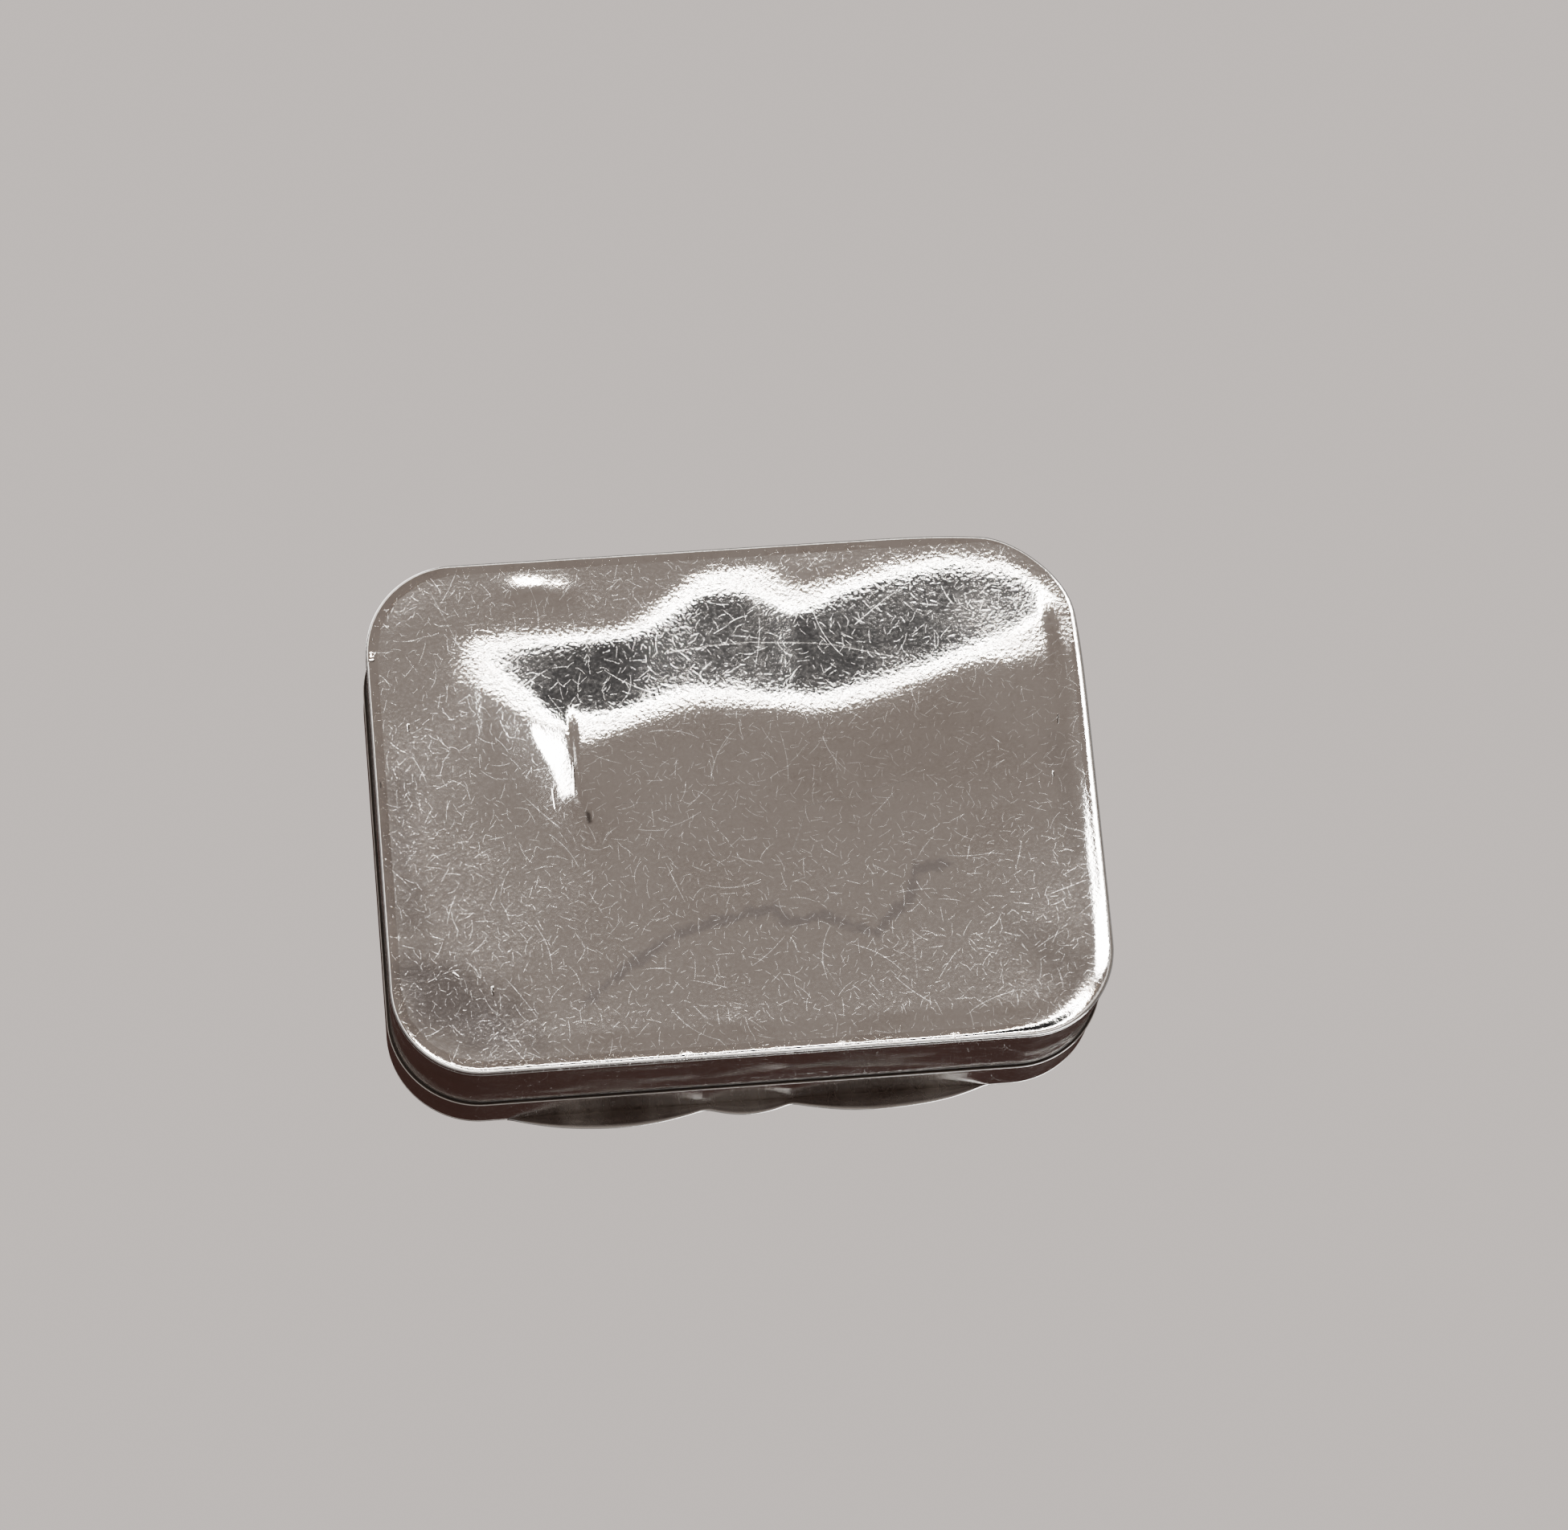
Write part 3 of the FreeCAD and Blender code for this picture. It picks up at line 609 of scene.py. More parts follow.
def make_thumbpiece(material):
    """The lobed lip soldered to the lid wall, thick at its root and rounded at its edge."""
    count, rows = 241, 20
    x = np.linspace(THUMB_LOW[0], THUMB_HIGH[0], count)
    reach = smooth_curve(list(zip(x, thumb_reach(x))), x, 0.22)
    out = np.repeat(reach, rows)
    turns = np.tile(np.linspace(0.0, 2.0 * np.pi, rows, endpoint=False), count)
    along, tall = 0.5 - 0.5 * np.cos(turns), np.sin(turns)
    thick = (THUMB_HIGH[2] - THUMB_LOW[2]) / 2 * (1.0 - 0.45 * along ** 2)
    y = THUMB_HIGH[1] + THUMB_ROOT - (out + THUMB_ROOT) * along
    z = (THUMB_LOW[2] + THUMB_HIGH[2]) / 2 - THUMB_DROOP * along * out
    z += thick * np.copysign(np.abs(tall) ** 0.6, tall)
    vertices = np.column_stack((np.repeat(x, rows), y, z))
    faces = ring_faces(count, rows, 0, False)
    faces.append(tuple(range(rows))[::-1])
    faces.append(tuple(range((count - 1) * rows, count * rows)))
    piece = make_piece("thumbpiece_lobed", vertices, faces, "lid", material,
                       "thumbpiece")
    # painted shade: the underside of the thumbpiece, fading out towards its edge
    shaded = smoothstep(0.0, -0.4, tall) * smoothstep(0.97, 0.8, along)
    store_point_values(piece, "patina_and_painted_shade", shaded)


# ---------------- camera, light and floor

CAMERA_PLACE = (21.88, -69.12, -260.02)
CAMERA_AIM = (-2.3, 1.48, 0.0)
CAMERA_ROLL = math.radians(5.04)
CAMERA_ANGLE = math.radians(16.0)
FLOOR_REACH = 1500.0
FLOOR_HOLE = 0.55     # the floor's opening lies this much inside the plate's outline
HOLE_STEP = 1.5       # spacing of the mesh round that opening


def make_camera():
    """Looks up at the underside from a little in front of the box, as the photograph does."""
    camera = add_object("camera", bpy.data.cameras.new("camera"))
    camera.data.angle = CAMERA_ANGLE
    camera.data.clip_start = 0.01
    place = Vector(CAMERA_PLACE)
    forward = (Vector(CAMERA_AIM) - place).normalized()
    up_hint = Vector((-math.sin(CAMERA_ROLL), math.cos(CAMERA_ROLL), 0.0))
    right = forward.cross(up_hint).normalized()
    axes = Matrix((right, right.cross(forward), -forward)).transposed()
    camera.matrix_world = Matrix.Translation(place * MM) @ axes.to_4x4()
    bpy.context.scene.camera = camera


def empty_tree(owner):
    """The cleared node tree of a material or a world."""
    owner.use_nodes = True
    owner.node_tree.nodes.clear()
    return owner.node_tree


def add_node(tree, kind, inputs=None, **settings):
    """A shader node with its settings, and with values or links on its inputs."""
    made = tree.nodes.new(kind)
    for key, value in settings.items():
        setattr(made, key, value)
    for key, value in (inputs or {}).items():
        if isinstance(value, bpy.types.NodeSocket):
            tree.links.new(value, made.inputs[key])
        else:
            made.inputs[key].default_value = value
    return made


def calc(tree, operation, first, second=0.0, third=0.0, clamp=False):
    """The result of one Math node."""
    values = {0: first, 1: second, 2: third}
    made = add_node(tree, "ShaderNodeMath", values, operation=operation, use_clamp=clamp)
    return made.outputs[0]


def times(tree, first, second):
    """The product of two values."""
    return calc(tree, "MULTIPLY", first, second)


def vector(tree, operation, first, second):
    """The result of one Vector Math node."""
    other = "Scale" if operation == "SCALE" else 1
    made = add_node(tree, "ShaderNodeVectorMath", {0: first, other: second}, operation=operation)
    return made.outputs["Value" if operation in ("DOT_PRODUCT", "DISTANCE") else "Vector"]


def stored(tree, name):
    """The number that store_point_values kept under this name, and 0 on other meshes."""
    return add_node(tree, "ShaderNodeAttribute", attribute_name=name).outputs["Fac"]


def ramp(tree, value, low, high, out_low=0.0, out_high=1.0):
    """A smooth step from one number to another as value passes from low to high."""
    values = {"Value": value, "From Min": low, "From Max": high,
              "To Min": out_low, "To Max": out_high}
    made = add_node(tree, "ShaderNodeMapRange", values, interpolation_type="SMOOTHSTEP")
    return made.outputs["Result"]


def blend_colors(tree, share, first, second):
    """Two colours mixed by share. A Mix node's colours are its inputs 6 and 7 and output 2."""
    values = {0: share, 6: first, 7: second}
    return add_node(tree, "ShaderNodeMix", values, data_type="RGBA").outputs[2]


def gray(value, warm=0.0):
    """A neutral or slightly warm colour."""
    return (value * (1.0 + warm), value, value * (1.0 - warm), 1.0)


def oval(tree, x, y, middle, half):
    """How far a direction lies from the middle of an oval patch, 1 at its rim."""
    across = calc(tree, "DIVIDE", calc(tree, "SUBTRACT", x, middle[0]), half[0])
    along = calc(tree, "DIVIDE", calc(tree, "SUBTRACT", y, middle[1]), half[1])
    total = calc(tree, "ADD", times(tree, across, across), times(tree, along, along))
    return calc(tree, "SQRT", total)


# Colours of what the silver mirrors.
ROOM = (0.272, 0.231, 0.209, 1.0)
BELT = gray(2.6, 0.04)
HAZE = (8.0, 5.6, 3.4, 1.0)
LAMP = gray(44.0, 0.02)
SHAPE = (0.036, 0.035, 0.038, 1.0)
WINDOW = gray(26.0, 0.02)
HANDS = (0.047, 0.024, 0.020, 1.0)
BACKDROP = (0.80, 0.72, 0.68, 1.0)


def make_studio():
    """Soft light from all round. Below, the room is dim, with the dark shape of the photographer
    in front of a lamp, a window, and a pale belt near the horizon. A dark brown patch overhead
    stands for the hand. The camera itself sees a plain backdrop."""
    world = bpy.data.worlds.new("studio")
    bpy.context.scene.world = world
    tree = empty_tree(world)
    coordinates = add_node(tree, "ShaderNodeTexCoord").outputs["Generated"]
    split = add_node(tree, "ShaderNodeSeparateXYZ", {0: coordinates})
    x, y, z = split.outputs
    shape = oval(tree, x, y, (-0.09, -0.26), (0.42, 0.28))
    window = oval(tree, x, y, (-0.62, 0.34), (0.16, 0.30))
    belt = times(tree, ramp(tree, z, -0.6, -0.45), ramp(tree, z, -0.12, -0.22))
    room = blend_colors(tree, belt, ROOM, BELT)
    glow = blend_colors(tree, ramp(tree, shape, 1.28, 1.20), HAZE, LAMP)
    lit = blend_colors(tree, ramp(tree, shape, 1.36, 1.24), room, glow)
    dark = blend_colors(tree, ramp(tree, shape, 1.06, 0.96), lit, SHAPE)
    below = blend_colors(tree, ramp(tree, window, 1.05, 0.85), dark, WINDOW)
    sky = blend_colors(tree, ramp(tree, z, 0.05, 0.3), gray(0.14), gray(0.4))
    above = blend_colors(tree, ramp(tree, z, 0.66, 0.84), sky, HANDS)
    around = blend_colors(tree, ramp(tree, z, -0.04, 0.04), below, above)
    seen = add_node(tree, "ShaderNodeLightPath").outputs["Is Camera Ray"]
    color = blend_colors(tree, seen, around, BACKDROP)
    background = add_node(tree, "ShaderNodeBackground", {"Color": color})
    add_node(tree, "ShaderNodeOutputWorld", {"Surface": background.outputs[0]})


# Each softbox: name, azimuth and elevation in degrees, distance and size in metres, and watts.
SOFTBOXES = (("softbox_back", 150.0, 35.0, 0.7, 0.5, 5.0),
             ("softbox_front", -35.0, 40.0, 0.7, 0.45, 4.0))


def make_softbox(name, azimuth, elevation, distance, size, watts):
    """A square area light that faces the box."""
    light = bpy.data.lights.new(name, "AREA")
    light.shape = "SQUARE"
    light.size = size
    light.energy = watts
    softbox = add_object(name, light)
    turn, rise = math.radians(azimuth), math.radians(elevation)
    back = Vector((math.sin(turn) * math.cos(rise), -math.cos(turn) * math.cos(rise),
                   math.sin(rise)))
    softbox.location = back * distance
    softbox.rotation_euler = back.to_track_quat("Z", "Y").to_euler()


def floor_material():
    """Pale matt paper seen from above, with painted shade where the silver mirrors it, and clear
    from below and right at the contact.
    """
    material = bpy.data.materials.new("pale_floor")
    tree = empty_tree(material)
    paper = add_node(tree, "ShaderNodeTexCoord").outputs["Object"]
    grain = add_node(tree, "ShaderNodeTexNoise", {"Vector": paper, "Scale": 60.0, "Detail": 4.0})
    color = blend_colors(tree, grain.outputs[0], (0.72, 0.68, 0.65, 1.0), (0.77, 0.73, 0.70, 1.0))
    path = add_node(tree, "ShaderNodeLightPath")
    # painted shade: the paper turns darker to reflection rays only
    shaded_for_reflections = blend_colors(tree, path.outputs["Is Glossy Ray"], color, (0.30, 0.27, 0.25, 1.0))
    diffuse = add_node(tree, "ShaderNodeBsdfDiffuse", {"Color": shaded_for_reflections})
    clear = add_node(tree, "ShaderNodeBsdfTransparent")
    from_below = add_node(tree, "ShaderNodeNewGeometry").outputs["Backfacing"]
    near = ramp(tree, path.outputs["Ray Length"], 0.8 * MM, 0.4 * MM)
    touching = times(tree, near, path.outputs["Is Glossy Ray"])
    share = calc(tree, "MAXIMUM", from_below, touching)
    mixed = add_node(tree, "ShaderNodeMixShader",
                     {0: share, 1: diffuse.outputs[0], 2: clear.outputs[0]})
    add_node(tree, "ShaderNodeOutputMaterial", {"Surface": mixed.outputs[0]})
    return material


def make_floor():
    """A wide floor at z = 0, open only under the plate, which the photograph looks up at."""
    hole, _, _ = outline(*(PLATE_HIGH[:2] - FLOOR_HOLE), CORNER - FLOOR_HOLE, HOLE_STEP)
    turns = np.arctan2(hole[:, 1], hole[:, 0])
    far = FLOOR_REACH * np.column_stack((np.cos(turns), np.sin(turns)))
    places = np.vstack((far, hole))
    vertices = np.column_stack((places, np.zeros(len(places)))) * MM
    mesh = bpy.data.meshes.new("floor")
    mesh.from_pydata(vertices.tolist(), [], ring_faces(2, len(hole), 0, False))
    mesh.materials.append(floor_material())
    floor = add_object("floor", mesh)


# ---------------- materials

CLEAN = (0.86, 0.835, 0.80, 1.0)
TONED = (0.60, 0.555, 0.515, 1.0)
SATIN = (0.80, 0.77, 0.715, 1.0)
SATIN_TONED = (0.62, 0.58, 0.52, 1.0)
WIRE_TONED = (0.40, 0.37, 0.33, 1.0)
SMUDGE_STAIN = (0.33, 0.315, 0.315, 1.0)
TIDE_STAIN = (0.42, 0.42, 0.45, 1.0)
CUT_STAIN = (0.30, 0.27, 0.25, 1.0)
TICK_STAIN = (0.10, 0.085, 0.075, 1.0)
# painted shade: the dark line at the seam between lid and base
SEAM_PAINTED_SHADE = (0.11, 0.095, 0.085, 1.0)
# painted shade and dark reflection under the thumbpiece
THUMB_PAINTED_SHADE = (0.13, 0.105, 0.095, 1.0)
CHASED_STAIN = (0.13, 0.115, 0.10, 1.0)
HINGE_STAIN = (0.22, 0.19, 0.165, 1.0)
HAIRLINE_DEPTH = 0.0006
MOTTLE_HEIGHT = 0.0034
GRAIN_HEIGHT = (0.005, 0.009)  # where the clouds are thin, and where they are thick
HAIRLINE_CLEAN = 0.35  # how much tone a hairline has lost
TONE_ROUGH = 0.06
HAIRLINE_ROUGH = 0.13
GRAIN_ROUGH = 0.10
INSIDE_ROUGH = 0.22


def scratch_group():
    """One fine curved scratch in each cell of a random pattern, each turned its own way."""
    tree = bpy.data.node_groups.new("fine_scratches", "ShaderNodeTree")
    tree.interface.new_socket("Point", in_out="INPUT", socket_type="NodeSocketVector")
    for name in ("Cell", "Length", "Width", "Share"):
        tree.interface.new_socket(name, in_out="INPUT", socket_type="NodeSocketFloat")
    tree.interface.new_socket("Mask", in_out="OUTPUT", socket_type="NodeSocketFloat")
    given = add_node(tree, "NodeGroupInput").outputs
    size = calc(tree, "DIVIDE", 1.0, given["Cell"])
    scaled = vector(tree, "SCALE", given["Point"], size)
    cells = add_node(tree, "ShaderNodeTexVoronoi", {"Vector": scaled, "Scale": 1.0},
                     voronoi_dimensions="2D")
    local = vector(tree, "SUBTRACT", scaled, cells.outputs["Position"])
    chance = add_node(tree, "ShaderNodeSeparateColor", {0: cells.outputs["Color"]}).outputs
    angle = times(tree, chance[0], 2.0 * math.pi)
    turned = add_node(tree, "ShaderNodeVectorRotate", {"Vector": local, "Angle": angle},
                      rotation_type="Z_AXIS").outputs[0]
    along, across, _ = add_node(tree, "ShaderNodeSeparateXYZ", {0: turned}).outputs
    bend = times(tree, calc(tree, "SUBTRACT", chance[2], 0.5), 0.9)
    curved = calc(tree, "ADD", across, times(tree, bend, times(tree, along, along)))
    half_length = times(tree, times(tree, given["Length"], size), calc(tree, "ADD", chance[2], 0.3))
    half_width = times(tree, given["Width"], size)
    narrow = calc(tree, "SUBTRACT", 1.0, calc(tree, "DIVIDE", calc(tree, "ABSOLUTE", curved),
                                              half_width), clamp=True)
    short = ramp(tree, calc(tree, "DIVIDE", calc(tree, "ABSOLUTE", along), half_length), 1.0, 0.6)
    present = calc(tree, "LESS_THAN", chance[1], given["Share"])
    mask = times(tree, times(tree, narrow, short), present)
    add_node(tree, "NodeGroupOutput", {0: mask})
    return tree


SCRATCHES = scratch_group()


def scratches(tree, point, cell, length, width, share):
    """One layer of fine scratches over the whole surface, sizes in millimetres."""
    values = {"Point": point, "Cell": cell, "Length": length, "Width": width, "Share": share}
    made = add_node(tree, "ShaderNodeGroup", values, node_tree=SCRATCHES)
    return made.outputs[0]


def noise(tree, point, size, detail=3.0, distortion=0.0):
    """Cloudy noise whose blobs are about size millimetres wide."""
    values = {"Vector": point, "Scale": 1.0 / size, "Detail": detail, "Distortion": distortion}
    return add_node(tree, "ShaderNodeTexNoise", values).outputs[0]


def shifted(tree, point, shift, stretch=(1.0, 1.0, 1.0), turn=0.0):
    """The same surface with its pattern moved, turned and stretched."""
    values = {"Vector": point, "Location": shift, "Scale": stretch,
              "Rotation": (0.0, 0.0, math.radians(turn))}
    return add_node(tree, "ShaderNodeMapping", values).outputs[0]


def surface_point(tree, unrolled):
    """Place on the surface in millimetres: the flattened strip, or the object's own frame."""
    if unrolled:
        return add_node(tree, "ShaderNodeAttribute", attribute_name="unrolled").outputs["Vector"]
    place = add_node(tree, "ShaderNodeTexCoord").outputs["Object"]
    return vector(tree, "SCALE", place, 1.0 / MM)


def stroke(tree, point, start, end, width, rough=0.0, strength=1.0):
    """Full strength along a straight stroke between two places, fading to 0 at its edge."""
    way = (end[0] - start[0], end[1] - start[1], 0.0)
    squared = way[0] ** 2 + way[1] ** 2
    flat = vector(tree, "MULTIPLY", point, (1.0, 1.0, 0.0))
    local = vector(tree, "SUBTRACT", flat, (*start, 0.0))
    share = calc(tree, "DIVIDE", vector(tree, "DOT_PRODUCT", local, way), squared, clamp=True)
    away = vector(tree, "DISTANCE", local, vector(tree, "SCALE", way, share))
    if rough:
        ragged = calc(tree, "SUBTRACT", noise(tree, point, 1.3 * width, 4.0), 0.5)
        away = calc(tree, "MULTIPLY_ADD", ragged, rough * width, away)
    return ramp(tree, away, width, 0.1 * width, 0.0, strength)


def wear_patterns(tree, point):
    """Clouds, fine mottling, grain, and hairlines of three sizes in every direction."""
    clouds = noise(tree, point, 5.0, 4.0, 0.6)
    mottle = noise(tree, shifted(tree, point, (3.1, 7.7, 1.3)), 0.45, 5.0)
    # Each layer's cell, length and width, and the share of cells with a scratch.
    fine = scratches(tree, point, 0.40, 0.26, 0.024, 0.7)
    medium = scratches(tree, shifted(tree, point, (5.3, 2.1, 0.0), turn=31.0),
                       0.95, 0.60, 0.026, 0.6)
    long = scratches(tree, shifted(tree, point, (9.7, 4.4, 0.0), turn=67.0),
                     2.6, 1.7, 0.030, 0.5)
    grain = noise(tree, point, 0.16, 2.0)
    lines = calc(tree, "ADD", calc(tree, "ADD", fine, medium), long)
    return clouds, mottle, grain, lines


def worn_relief(tree, patterns, wear):
    """Height of the hairlines, the mottling and the grain, in millimetres."""
    clouds, mottle, grain, lines = patterns
    height = times(tree, lines, -HAIRLINE_DEPTH * wear)
    height = calc(tree, "MULTIPLY_ADD", mottle, MOTTLE_HEIGHT * wear, height)
    low, high = GRAIN_HEIGHT
    worn = ramp(tree, clouds, 0.3, 0.7, low * wear, high * wear)
    return calc(tree, "MULTIPLY_ADD", grain, worn, height)


def worn_roughness(tree, patterns, tone, roughness, wear):
    """Roughness rises with the tone, on the hairlines and on faces inside the box."""
    _, _, grain, lines = patterns
    rough = calc(tree, "MULTIPLY_ADD", tone, TONE_ROUGH, roughness)
    rough = calc(tree, "MULTIPLY_ADD", lines, HAIRLINE_ROUGH * wear, rough)
    uneven = calc(tree, "SUBTRACT", grain, 0.5)
    rough = calc(tree, "MULTIPLY_ADD", uneven, GRAIN_ROUGH * wear, rough)
    return calc(tree, "MULTIPLY_ADD", stored(tree, "inside"), INSIDE_ROUGH, rough)


def silver(name, clean, toned, roughness, marks, unrolled=False, wear=1.0):
    """Old polished silver. Marks is a function that adds this piece's own tone, stains and bump."""
    material = bpy.data.materials.new(name)
    tree = empty_tree(material)
    point = surface_point(tree, unrolled)
    patterns = wear_patterns(tree, point)
    clouds, mottle, _, lines = patterns
    tone = calc(tree, "ADD", ramp(tree, clouds, 0.42, 0.72, 0.0, 0.55),
                ramp(tree, mottle, 0.5, 0.75, 0.0, 0.35))
    bump = worn_relief(tree, patterns, wear)
    extra = marks(tree, point)
    if "tone" in extra:
        tone = calc(tree, "ADD", tone, extra["tone"])
    if "bump" in extra:
        bump = calc(tree, "ADD", bump, extra["bump"])
    if "deeper" in extra:
        bump = calc(tree, "MULTIPLY_ADD", lines, extra["deeper"], bump)
    tone = calc(tree, "SUBTRACT", tone, times(tree, lines, HAIRLINE_CLEAN), clamp=True)
    color = blend_colors(tree, tone, clean, toned)
    for share, stain in extra.get("stains", ()):
        color = blend_colors(tree, share, color, stain)
    rough = worn_roughness(tree, patterns, tone, roughness, wear)
    if "rough" in extra:
        rough = calc(tree, "ADD", rough, extra["rough"])
    relief = add_node(tree, "ShaderNodeBump", {"Height": bump, "Distance": MM, "Strength": 1.0})
    shader = add_node(tree, "ShaderNodeBsdfPrincipled",
                      {"Base Color": color, "Roughness": rough, "Metallic": 1.0,
                       "Normal": relief.outputs[0]})
    add_node(tree, "ShaderNodeOutputMaterial", {"Surface": shader.outputs[0]})
    return material


def widest(tree, masks):
    """The largest of several masks. Each is made just before it is used, because a shader can
    hold only so many values at once."""
    total = next(masks)
    for mask in masks:
        total = calc(tree, "MAXIMUM", total, mask)
    return total


# Marks on the underside, each from one place (x, y) to another.
# Dark smudges, each with its width and strength.
SMUDGES = (((15.7, -8.1), (12.4, -10.7), 2.8, 0.9), ((-13.7, -8.1), (-15.5, -10.2), 2.0, 0.35),
           ((16.2, 2.0), (16.5, -5.0), 1.4, 0.45), ((-16.0, -3.5), (-15.8, 2.0), 1.0, 0.2))
# The edge that a drop of liquid dried to, as one line of places.
TIDE_LINE = ((8.2, -9.5), (6.4, -8.3), (4.3, -6.8), (2.2, -6.1), (-1.2, -5.5), (-1.8, -6.3),
             (-3.6, -6.1), (-6.0, -7.1), (-7.7, -5.6), (-8.3, -4.0), (-9.7, -3.9))
TIDE_WIDTH = 0.42
# The longest scratches. The last four make one curve.
CUTS = (((-3.1, -0.5), (-8.3, 0.5)), ((-3.3, -0.6), (-2.4, -2.7)), ((-3.2, -8.3), (-4.2, -10.0)),
        ((-7.8, -7.3), (-7.8, -9.5)), ((5.6, 0.3), (0.4, -0.1)), ((14.1, 11.2), (12.9, 8.4)),
        ((2.8, 7.7), (0.8, 7.95)), ((0.8, 7.95), (-1.3, 8.0)), ((-1.3, 8.0), (-5.2, 7.6)),
        ((-5.2, 7.6), (-8.5, 6.8)))
CUT_WIDTH = 0.05
# Short dark nicks and pits, each with its width.
TICKS = (((15.7, 4.75), (15.7, 4.45), 0.08), ((12.6, -8.55), (12.6, -8.9), 0.09),
         ((7.8, 2.8), (7.9, 0.9), 0.07), ((8.95, 1.2), (8.9, 0.2), 0.06),
         ((7.35, -0.1), (7.3, -0.5), 0.22), ((-15.95, 3.2), (-15.9, 2.8), 0.07),
         ((-15.4, 0.3), (-15.4, 0.1), 0.07), ((14.4, -7.7), (14.2, -7.9), 0.07),
         ((17.4, 8.1), (17.15, 8.1), 0.10), ((3.6, -12.5), (3.7, -12.65), 0.07),
         ((-3.9, -12.45), (-3.9, -12.6), 0.06), ((-9.3, -12.45), (-9.3, -12.6), 0.06))


def plate_marks(tree, point):
    """The stains, smudges and long scratches that the photograph shows on the underside."""
    smudge = widest(tree, (stroke(tree, point, start, end, width, 1.5, strength)
                           for start, end, width, strength in SMUDGES))
    tide = widest(tree, (stroke(tree, point, start, end, TIDE_WIDTH, 2.2)
                         for start, end in zip(TIDE_LINE, TIDE_LINE[1:])))
    cut = widest(tree, (stroke(tree, point, start, end, CUT_WIDTH) for start, end in CUTS))
    tick = widest(tree, (stroke(tree, point, start, end, width, 0.8)
                         for start, end, width in TICKS))
    outside = calc(tree, "SUBTRACT", 1.0, stored(tree, "inside"))
    smudge, tide, cut, tick = [times(tree, mask, outside) for mask in (smudge, tide, cut, tick)]
    scuffed = stored(tree, "scuffed")
    scuffs = times(tree, noise(tree, shifted(tree, point, (4.0, 9.0, 2.0)), 0.2), scuffed)
    dented = stored(tree, "dented")
    bump = calc(tree, "MULTIPLY_ADD", tick, -0.01, times(tree, cut, -0.0008))
    bump = calc(tree, "MULTIPLY_ADD", scuffs, 0.02, bump)
    rough = times(tree, cut, 0.08)
    deeper = times(tree, dented, -0.0005)
    stains = ((times(tree, smudge, 0.85), SMUDGE_STAIN),
              (times(tree, tide, 0.45), TIDE_STAIN),
              (ramp(tree, cut, 0.55, 0.95, 0.0, 0.6), CUT_STAIN),
              (times(tree, tick, 0.8), TICK_STAIN))
    return {"bump": bump, "rough": rough, "deeper": deeper, "stains": stains}


def wall_marks(tree, point):
    """Faint polishing lines along a wall, and painted shade as a dark line at the seam between lid
    and base.
    """
    along = noise(tree, shifted(tree, point, (2.0, 5.0, 0.0), (0.05, 5.0, 1.0)), 0.6, 4.0)
    # on the walls this mask is the seam's painted shade
    seam = stored(tree, "patina_and_painted_shade")
    return {"bump": times(tree, along, 0.0015),
            "tone": ramp(tree, along, 0.5, 0.8, 0.0, 0.15),
            # the dark line at the seam is painted shade
            "stains": ((seam, SEAM_PAINTED_SHADE),),
            "rough": times(tree, seam, 0.3)}


def thumb_marks(tree, point):
    """Painted shade and a painted dark reflection in brown under the thumbpiece, lighter in places
    and along its edge.
    """
    shaded = stored(tree, "patina_and_painted_shade")
    # patches where the painted shade under the thumbpiece is lighter
    rubbed_wear_and_patchy_shade = ramp(tree, noise(tree, point, 4.0), 0.45, 0.62, 1.0, 0.8)
    share = times(tree, shaded, rubbed_wear_and_patchy_shade)
    return {"stains": ((share, THUMB_PAINTED_SHADE),),
            "rough": times(tree, share, 0.12)}


def chased_marks(tree, point):
    """Dark tone left in the chased and engine-turned lines of the lid."""
    deep = stored(tree, "patina_and_painted_shade")
    patchy = times(tree, deep, ramp(tree, noise(tree, point, 2.0), 0.3, 0.6, 0.5, 0.95))
    return {"stains": ((patchy, CHASED_STAIN),),
            "rough": times(tree, deep, 0.15)}


def hinge_marks(tree, point):
    """Grime between the knuckles and bright wear along them."""
    bands = noise(tree, shifted(tree, point, (0.0, 3.0, 0.0), (3.0, 0.4, 0.4)), 0.8, 4.0)
    share = ramp(tree, bands, 0.55, 0.75, 0.0, 0.6)
    return {"stains": ((share, HINGE_STAIN),),
            "rough": times(tree, share, 0.2)}


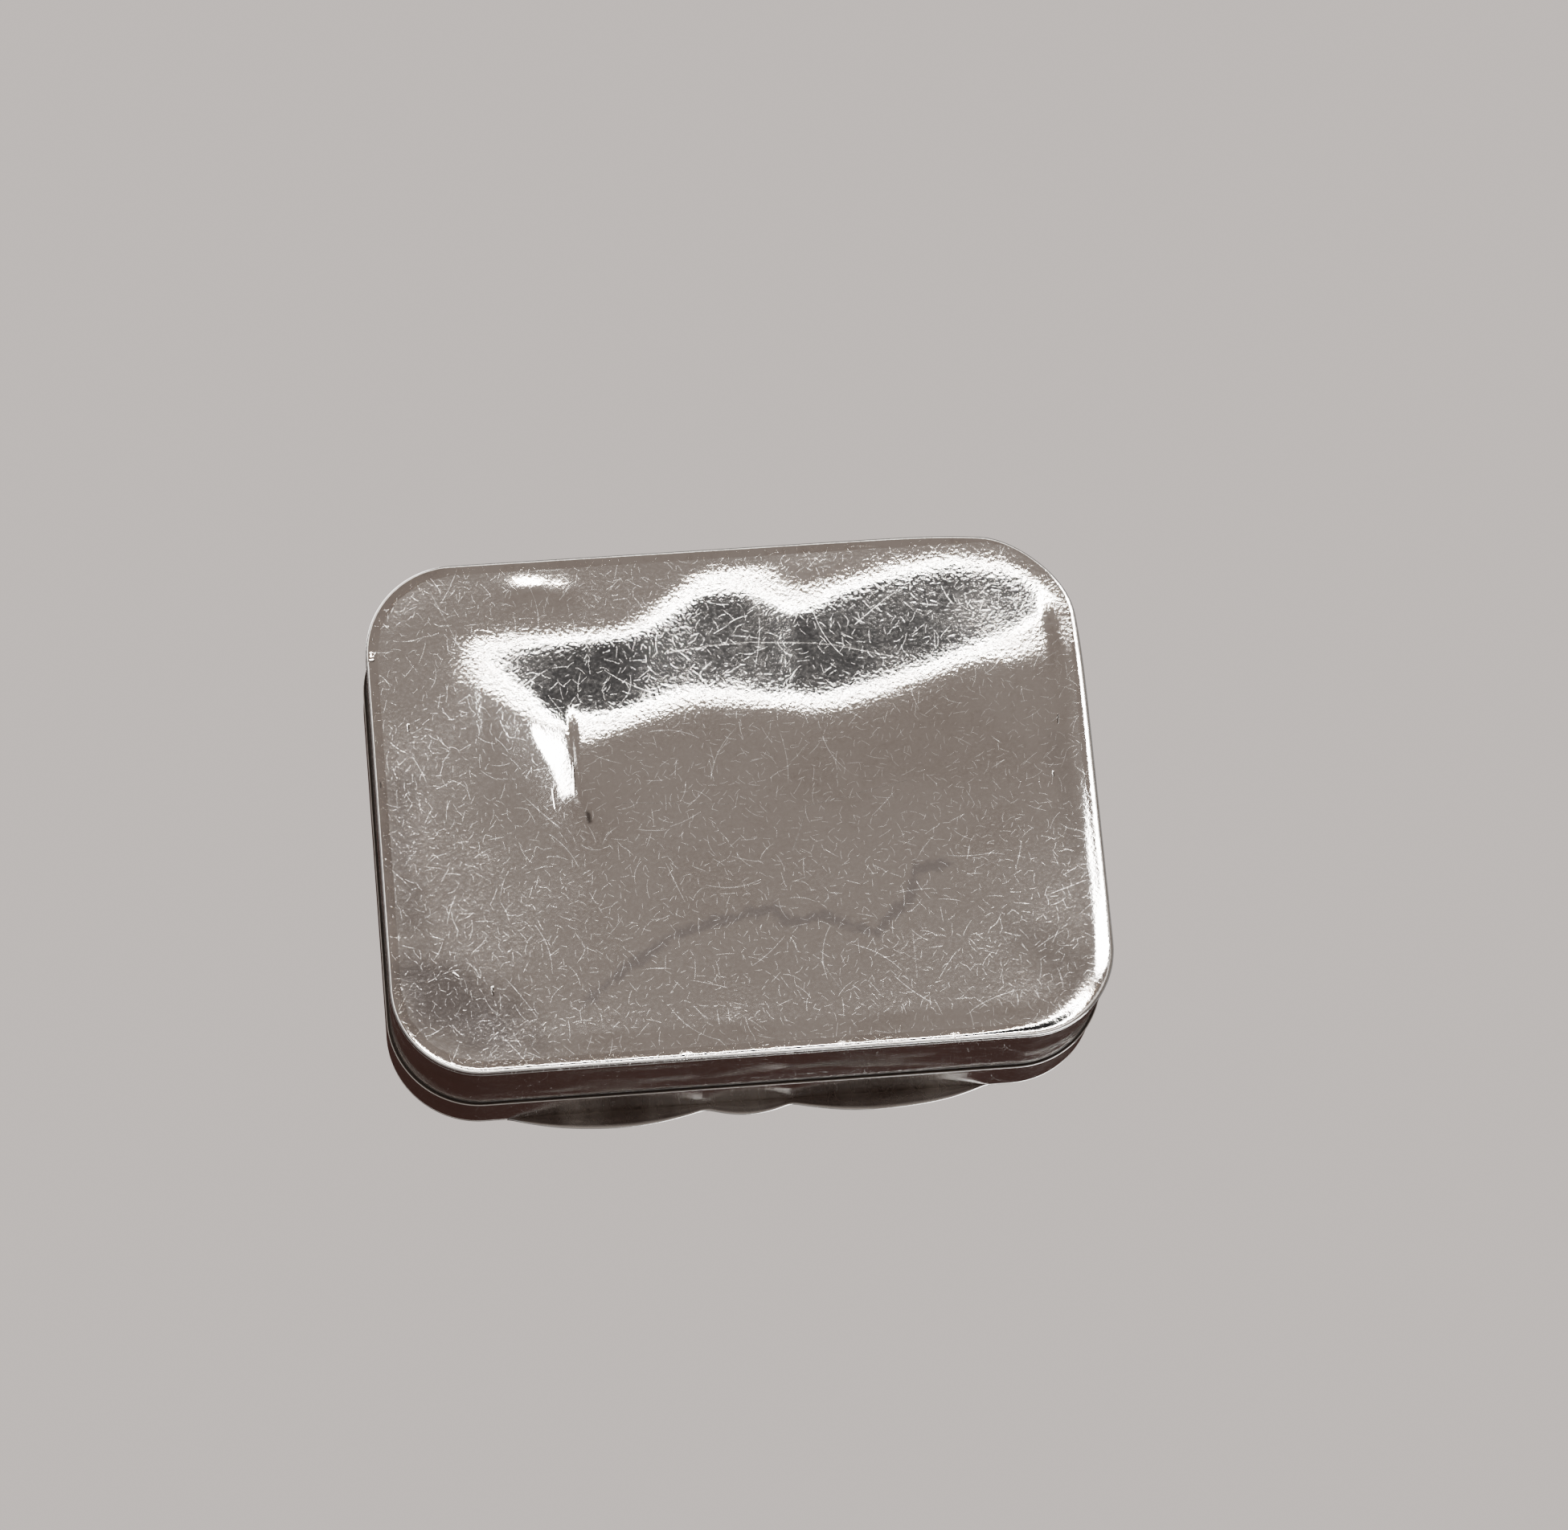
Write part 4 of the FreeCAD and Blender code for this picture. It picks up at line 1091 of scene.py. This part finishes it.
def satin_marks(tree, point):
    """Straight fine rubbing inside the box, and a warmer tone."""
    along = noise(tree, shifted(tree, point, (1.0, 2.0, 3.0), (0.15, 8.0, 1.0), 8.0), 0.5, 4.0)
    return {"bump": times(tree, along, 0.003),
            "tone": ramp(tree, along, 0.45, 0.75, 0.0, 0.3)}


def wear_edges(node, width):
    """Rounds a CAD node's sharp edges a little, as handling does."""
    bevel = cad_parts[node].modifiers.new("worn_edges", "BEVEL")
    bevel.width = width * MM
    bevel.segments = 2
    bevel.limit_method = "ANGLE"
    bevel.angle_limit = math.radians(40.0)


def finish_cad_nodes():
    """Finishes for the CAD nodes that keep their shape."""
    satin = silver("satin_inside", SATIN, SATIN_TONED, 0.3, marks=satin_marks)
    hinge = silver("worn_hinge", CLEAN, TONED, 0.24, wear=0.5, marks=hinge_marks)
    wire = silver("drawn_wire", SATIN_TONED, WIRE_TONED, 0.3, marks=hinge_marks)
    knuckles = [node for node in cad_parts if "knuckle" in node]
    leaves = [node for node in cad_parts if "leaf" in node]
    ends = [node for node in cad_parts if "pin" in node]
    for nodes, material in (([*leaves, "base_bezel"], satin), (knuckles, hinge), (ends, wire)):
        for node in nodes:
            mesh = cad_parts[node].data
            mesh.materials.clear()
            mesh.materials.append(material)
    for node in ("base_bezel", *knuckles):
        wear_edges(node, 0.06)


make_camera()
make_studio()
for softbox in SOFTBOXES:
    make_softbox(*softbox)
make_floor()
make_base_plate(silver("worn_plate", CLEAN, TONED, 0.09, marks=plate_marks))
wall = silver("worn_wall_painted_seam_shade", CLEAN, TONED, 0.10, unrolled=True, marks=wall_marks)
make_band("base_wall_worn", "base_band", CORNER, BASE_LIP, base_wall, "base", wall,
          knocked)
make_band("lid_wall_worn", "lid_band", LID_CORNER, LID_LIP, lid_wall, "lid", wall)
make_lid_top(silver("chased_lid", CLEAN, TONED, 0.13, marks=chased_marks))
make_thumbpiece(silver("worn_thumbpiece_painted_shade", CLEAN, TONED, 0.12, marks=thumb_marks))
finish_cad_nodes()
